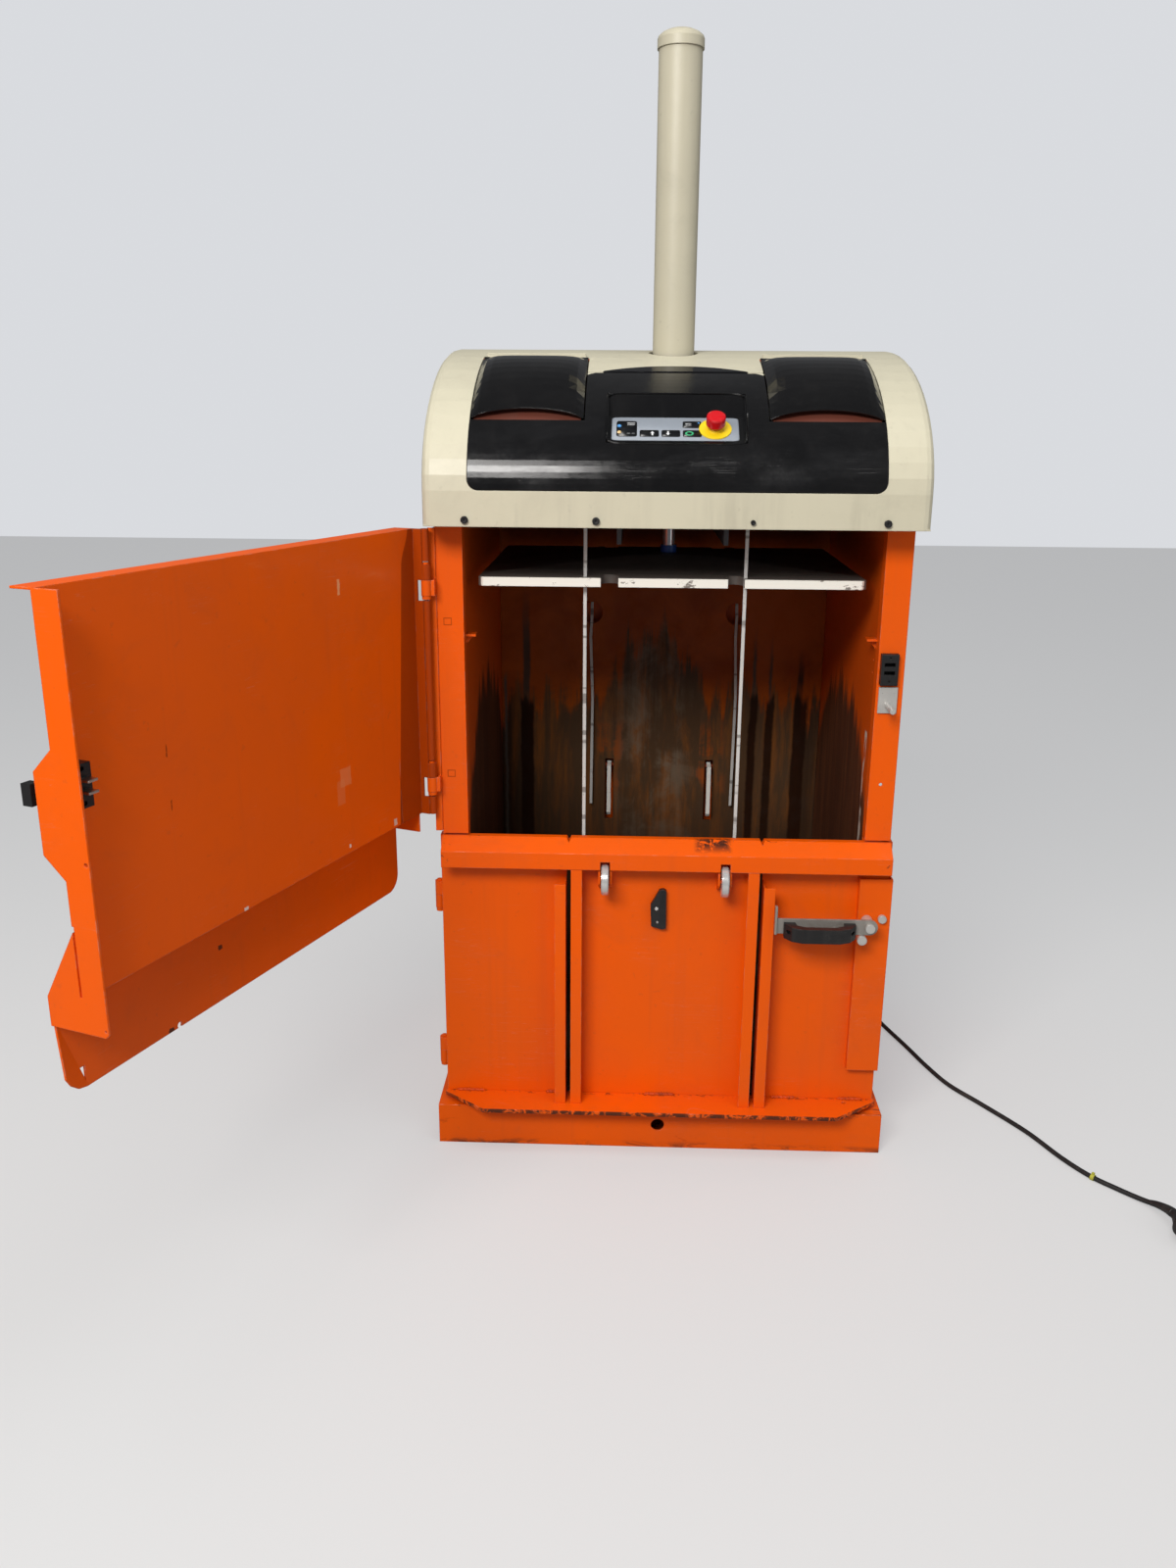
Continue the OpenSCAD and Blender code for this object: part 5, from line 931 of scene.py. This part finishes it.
arrows = {"outline": [(-1, -3), (1, -3), (1, 0), (2.4, 0), (0, 3), (-2.4, 0), (-1, 0)],
          "unit": (0.0014, 0.0018), "heights": (0.0012, 0.0017), "up": (-0.0385, 0.0205),
          "down": (-0.0135, 0.0205)}


def arrow(name, x, s, way):
    # Shaft and head as one outline, raised by a hair
    shape = np.array(arrows["outline"]) * (arrows["unit"][0], arrows["unit"][1] * way)
    if way < 0:
        shape = shape[::-1]
    base, top = ([onTray(x + p, s + q, height) for p, q in shape] for height in arrows["heights"])
    count = len(shape)
    sides = [[k, (k + 1) % count, count + (k + 1) % count, count + k] for k in range(count)]
    caps = [list(range(count - 1, -1, -1)), list(range(count, 2 * count))]
    addPiece(name, base + top, sides + caps, "signWhite", "frame", False)


arrow("upArrow", *arrows["up"], 1)
arrow("downArrow", *arrows["down"], -1)

startMark = {"place": (0.0205, 0.0205), "lift": 0.0014, "radius": 0.0042, "thick": 0.0014, "wide": 1.3,
             "flat": 0.4, "around": 40, "sides": 8}


def startRing():
    # Flattened torus: P(a, b) = c + (R + t cos b)(wide cos a u + sin a v) + flat t sin b w
    around, sides, thick = startMark["around"], startMark["sides"], startMark["thick"]
    a, b = np.meshgrid(circle(around), circle(sides), indexing="ij")
    a, b = a[..., None], b[..., None]
    flat = np.cos(a) * np.array([startMark["wide"], 0, 0]) + np.sin(a) * trayUp
    reach = startMark["radius"] + thick * np.cos(b)
    centre = onTray(*startMark["place"], startMark["lift"])
    points = centre + reach * flat + startMark["flat"] * thick * np.sin(b) * trayOut
    first = np.arange(sides)
    after, last = (first + 1) % sides, (around - 1) * sides
    seam = np.stack([first + last, after + last, after, first], -1).tolist()
    faces = gridFaces(around, sides, True) + seam
    addPiece("startRing", points, faces, "signGreen", "frame")


startRing()

# Plain bars in place of words: x, distance up the plate, half width, half height
keyBars = {"lift": 0.0013, "thick": 0.0002,
           "places": ((0.019, 0.0455, 0.0050, 0.0012), (0.019, 0.0415, 0.0050, 0.0009),
                      (-0.0725, 0.0465, 0.0062, 0.0014), (-0.0725, 0.0425, 0.0062, 0.0012),
                      (-0.0765, 0.0200, 0.0022, 0.0006), (-0.0690, 0.0200, 0.0022, 0.0006))}
for k, (x, s, wide, tall) in enumerate(keyBars["places"]):
    trayPad(f"keyBar{k}", x - wide, x + wide, s - tall, s + tall, keyBars["lift"], keyBars["thick"],
            "signWhite", 4.0)
print("keypad done")

# Bolt heads of the strap cutter, sunk in its two holes: profile is (share of the radius, height)
cutterBolts = {
    "profile": ((1, 0), (1, 0.0035), (0.85, 0.0047), (0.35, 0.0050), (0.3, 0.0036)),
    "places": {"cutterBoltUpper": ((-0.013, -0.3040, 0.478), 0.0037),
               "cutterBoltLower": ((-0.011, -0.3051, 0.452), 0.0020)},
}
for name, (place, radius) in cutterBolts["places"].items():
    profile = [(share * radius, height) for share, height in cutterBolts["profile"]]
    turnedPiece(name, profile, place, (0, -1, 0), "brightSteel", "lower_door", sides=24)

# Weld beads where the door's sheet meets its bottom plate: x ranges in metres
welds = {"y": -0.3005, "z": 0.0962, "radius": 0.0034, "rings": 49, "ripples": 75, "ripple": 0.14,
         "sways": 31, "sway": 0.0006,
         "runs": ((-0.385, -0.330), (-0.215, -0.180), (-0.030, 0.030), (0.210, 0.258), (0.335, 0.384))}
for k, (x0, x1) in enumerate(welds["runs"]):
    t = np.linspace(0, 1, welds["rings"])
    # Bead: ripples of a sine on a radius that closes at both ends
    closing = np.sqrt(np.clip(1 - (2 * t - 1) ** 8, 0.02, 1))
    radii = welds["radius"] * closing * (1 + welds["ripple"] * np.sin(t * welds["ripples"] + k))
    sway = welds["y"] + welds["sway"] * np.sin(t * welds["sways"] + k)
    path = np.column_stack([x0 + (x1 - x0) * t, sway, np.full(welds["rings"], welds["z"])])
    tube(f"weldBead{k}", path, radii, "weldOrange", "lower_door", sides=12)

# The hood's curve from front to top: y = centreY - deep cos t, z = springZ + tall sin t
hoodCurve = {"centreY": 0.088, "springZ": 1.215, "deep": 0.470, "tall": 0.232}

# Rolled edge of the opening for the controls, a rounded rectangle laid on the curve; angles in degrees
rim = {"half": 0.1130, "low": 18.5, "high": 40.7, "corner": 0.20, "radius": 0.0013, "sink": 0.0004,
       "steps": 161}
across, along = rounded(np.linspace(0, 2 * np.pi, rim["steps"]), rim["corner"])
bow = np.radians((rim["low"] + rim["high"]) / 2 + along * (rim["high"] - rim["low"]) / 2)
rimPath = np.column_stack([across * rim["half"],
                           hoodCurve["centreY"] - (hoodCurve["deep"] - rim["sink"]) * np.cos(bow),
                           hoodCurve["springZ"] + (hoodCurve["tall"] - rim["sink"]) * np.sin(bow)])
tube("controlRim", rimPath, rim["radius"], "glossBlack", "frame", sides=10)

# Brown shade that shows under the arched lower edge of each cover: x from inner to outer, angles in degrees
shade = {"inner": 0.153, "outer": 0.326, "from": 27.6, "to": 34.0, "sink": 0.0055, "thick": 0.0012,
         "rows": 9}


def rollShade(name, x0, x1):
    # Strip inside the curve: y = centreY - (deep - d) cos t, z = springZ + (tall - d) sin t at two depths d
    t = np.radians(np.linspace(shade["from"], shade["to"], shade["rows"]))[:, None]
    under = shade["sink"] + shade["thick"]
    d = np.array([shade["sink"], shade["sink"], under, under])[None, :]
    x = np.broadcast_to(np.array([x0, x1, x1, x0])[None, :], (shade["rows"], 4))
    y = hoodCurve["centreY"] - (hoodCurve["deep"] - d) * np.cos(t)
    z = hoodCurve["springZ"] + (hoodCurve["tall"] - d) * np.sin(t)
    return addPiece(name, np.stack([x, y, z], -1), closedFaces(shade["rows"], 4), "rollBrown", "frame",
                    False)


rollShade("rollShadeLeft", -shade["outer"], -shade["inner"])
rollShade("rollShadeRight", shade["inner"], shade["outer"])
print("small pieces done")

# Floor sheet, which only the camera sees lit up
ground = {"corners": [(-9, -7, 0), (9, -7, 0), (9, 11, 0), (-9, 11, 0)], "color": (0.36, 0.355, 0.345),
          "rough": 0.8, "spec": 0.1, "glow": (0.97, 0.98, 1.0), "glowStrength": 0.36}
floorMesh = bpy.data.meshes.new("floor")
floorMesh.from_pydata(ground["corners"], [], [(0, 1, 2, 3)])
floorPiece = bpy.data.objects.new("floor", floorMesh)
scene.collection.objects.link(floorPiece)
floorPaint = bpy.data.materials.new("floorPaint")
floorPaint.use_nodes = True
floorNet = ShaderNet(floorPaint.node_tree)
floorLook = floorPaint.node_tree.nodes["Principled BSDF"].inputs
floorLook["Base Color"].default_value = (*ground["color"], 1)
floorLook["Roughness"].default_value = ground["rough"]
floorLook["Specular IOR Level"].default_value = ground["spec"]
floorLook["Emission Color"].default_value = (*ground["glow"], 1)
seen = floorNet.node("ShaderNodeLightPath").outputs["Is Camera Ray"]
floorNet.put(floorLook["Emission Strength"], floorNet.times(seen, ground["glowStrength"]))
floorMesh.materials.append(floorPaint)

# Soft even light; the camera itself sees a paler backdrop
studio = {"light": 0.36, "mirrored": 0.13, "backdrop": 0.74, "tint": (0.94, 0.96, 1.0)}
world = bpy.data.worlds.new("studio")
scene.world = world
world.use_nodes = True
air = ShaderNet(world.node_tree)
rays = air.node("ShaderNodeLightPath").outputs
unseen = air.blend(rays["Is Glossy Ray"], studio["light"], studio["mirrored"])
background = world.node_tree.nodes["Background"]
background.inputs["Color"].default_value = (*studio["tint"], 1)
air.put(background.inputs["Strength"], air.blend(rays["Is Camera Ray"], unseen, studio["backdrop"]))

softboxes = {
    "keyLight": {"at": (-1.3, -3.6, 3.3), "to": (0, 0, 0.8), "size": (2.0, 1.2), "power": 152,
                 "color": (1.0, 0.98, 0.95), "mirrored": True},
    "topLight": {"at": (0.2, -0.9, 4.2), "to": (0, 0, 1.0), "size": (3.0, 1.6), "power": 50,
                 "color": (0.96, 0.98, 1.0), "mirrored": False},
    "fillLight": {"at": (2.8, -2.6, 1.6), "to": (0, 0, 0.9), "size": (1.6, 2.0), "power": 10,
                  "color": (1, 1, 1), "mirrored": True},
}
for name, box in softboxes.items():
    data = bpy.data.lights.new(name, "AREA")
    data.shape = "RECTANGLE"
    data.size, data.size_y = box["size"]
    data.energy = box["power"]
    data.color = box["color"]
    lamp = bpy.data.objects.new(name, data)
    lamp.location = box["at"]
    lamp.rotation_euler = (Vector(box["to"]) - Vector(box["at"])).to_track_quat("-Z", "Y").to_euler()
    lamp.visible_glossy = box["mirrored"]
    scene.collection.objects.link(lamp)
print("light done")
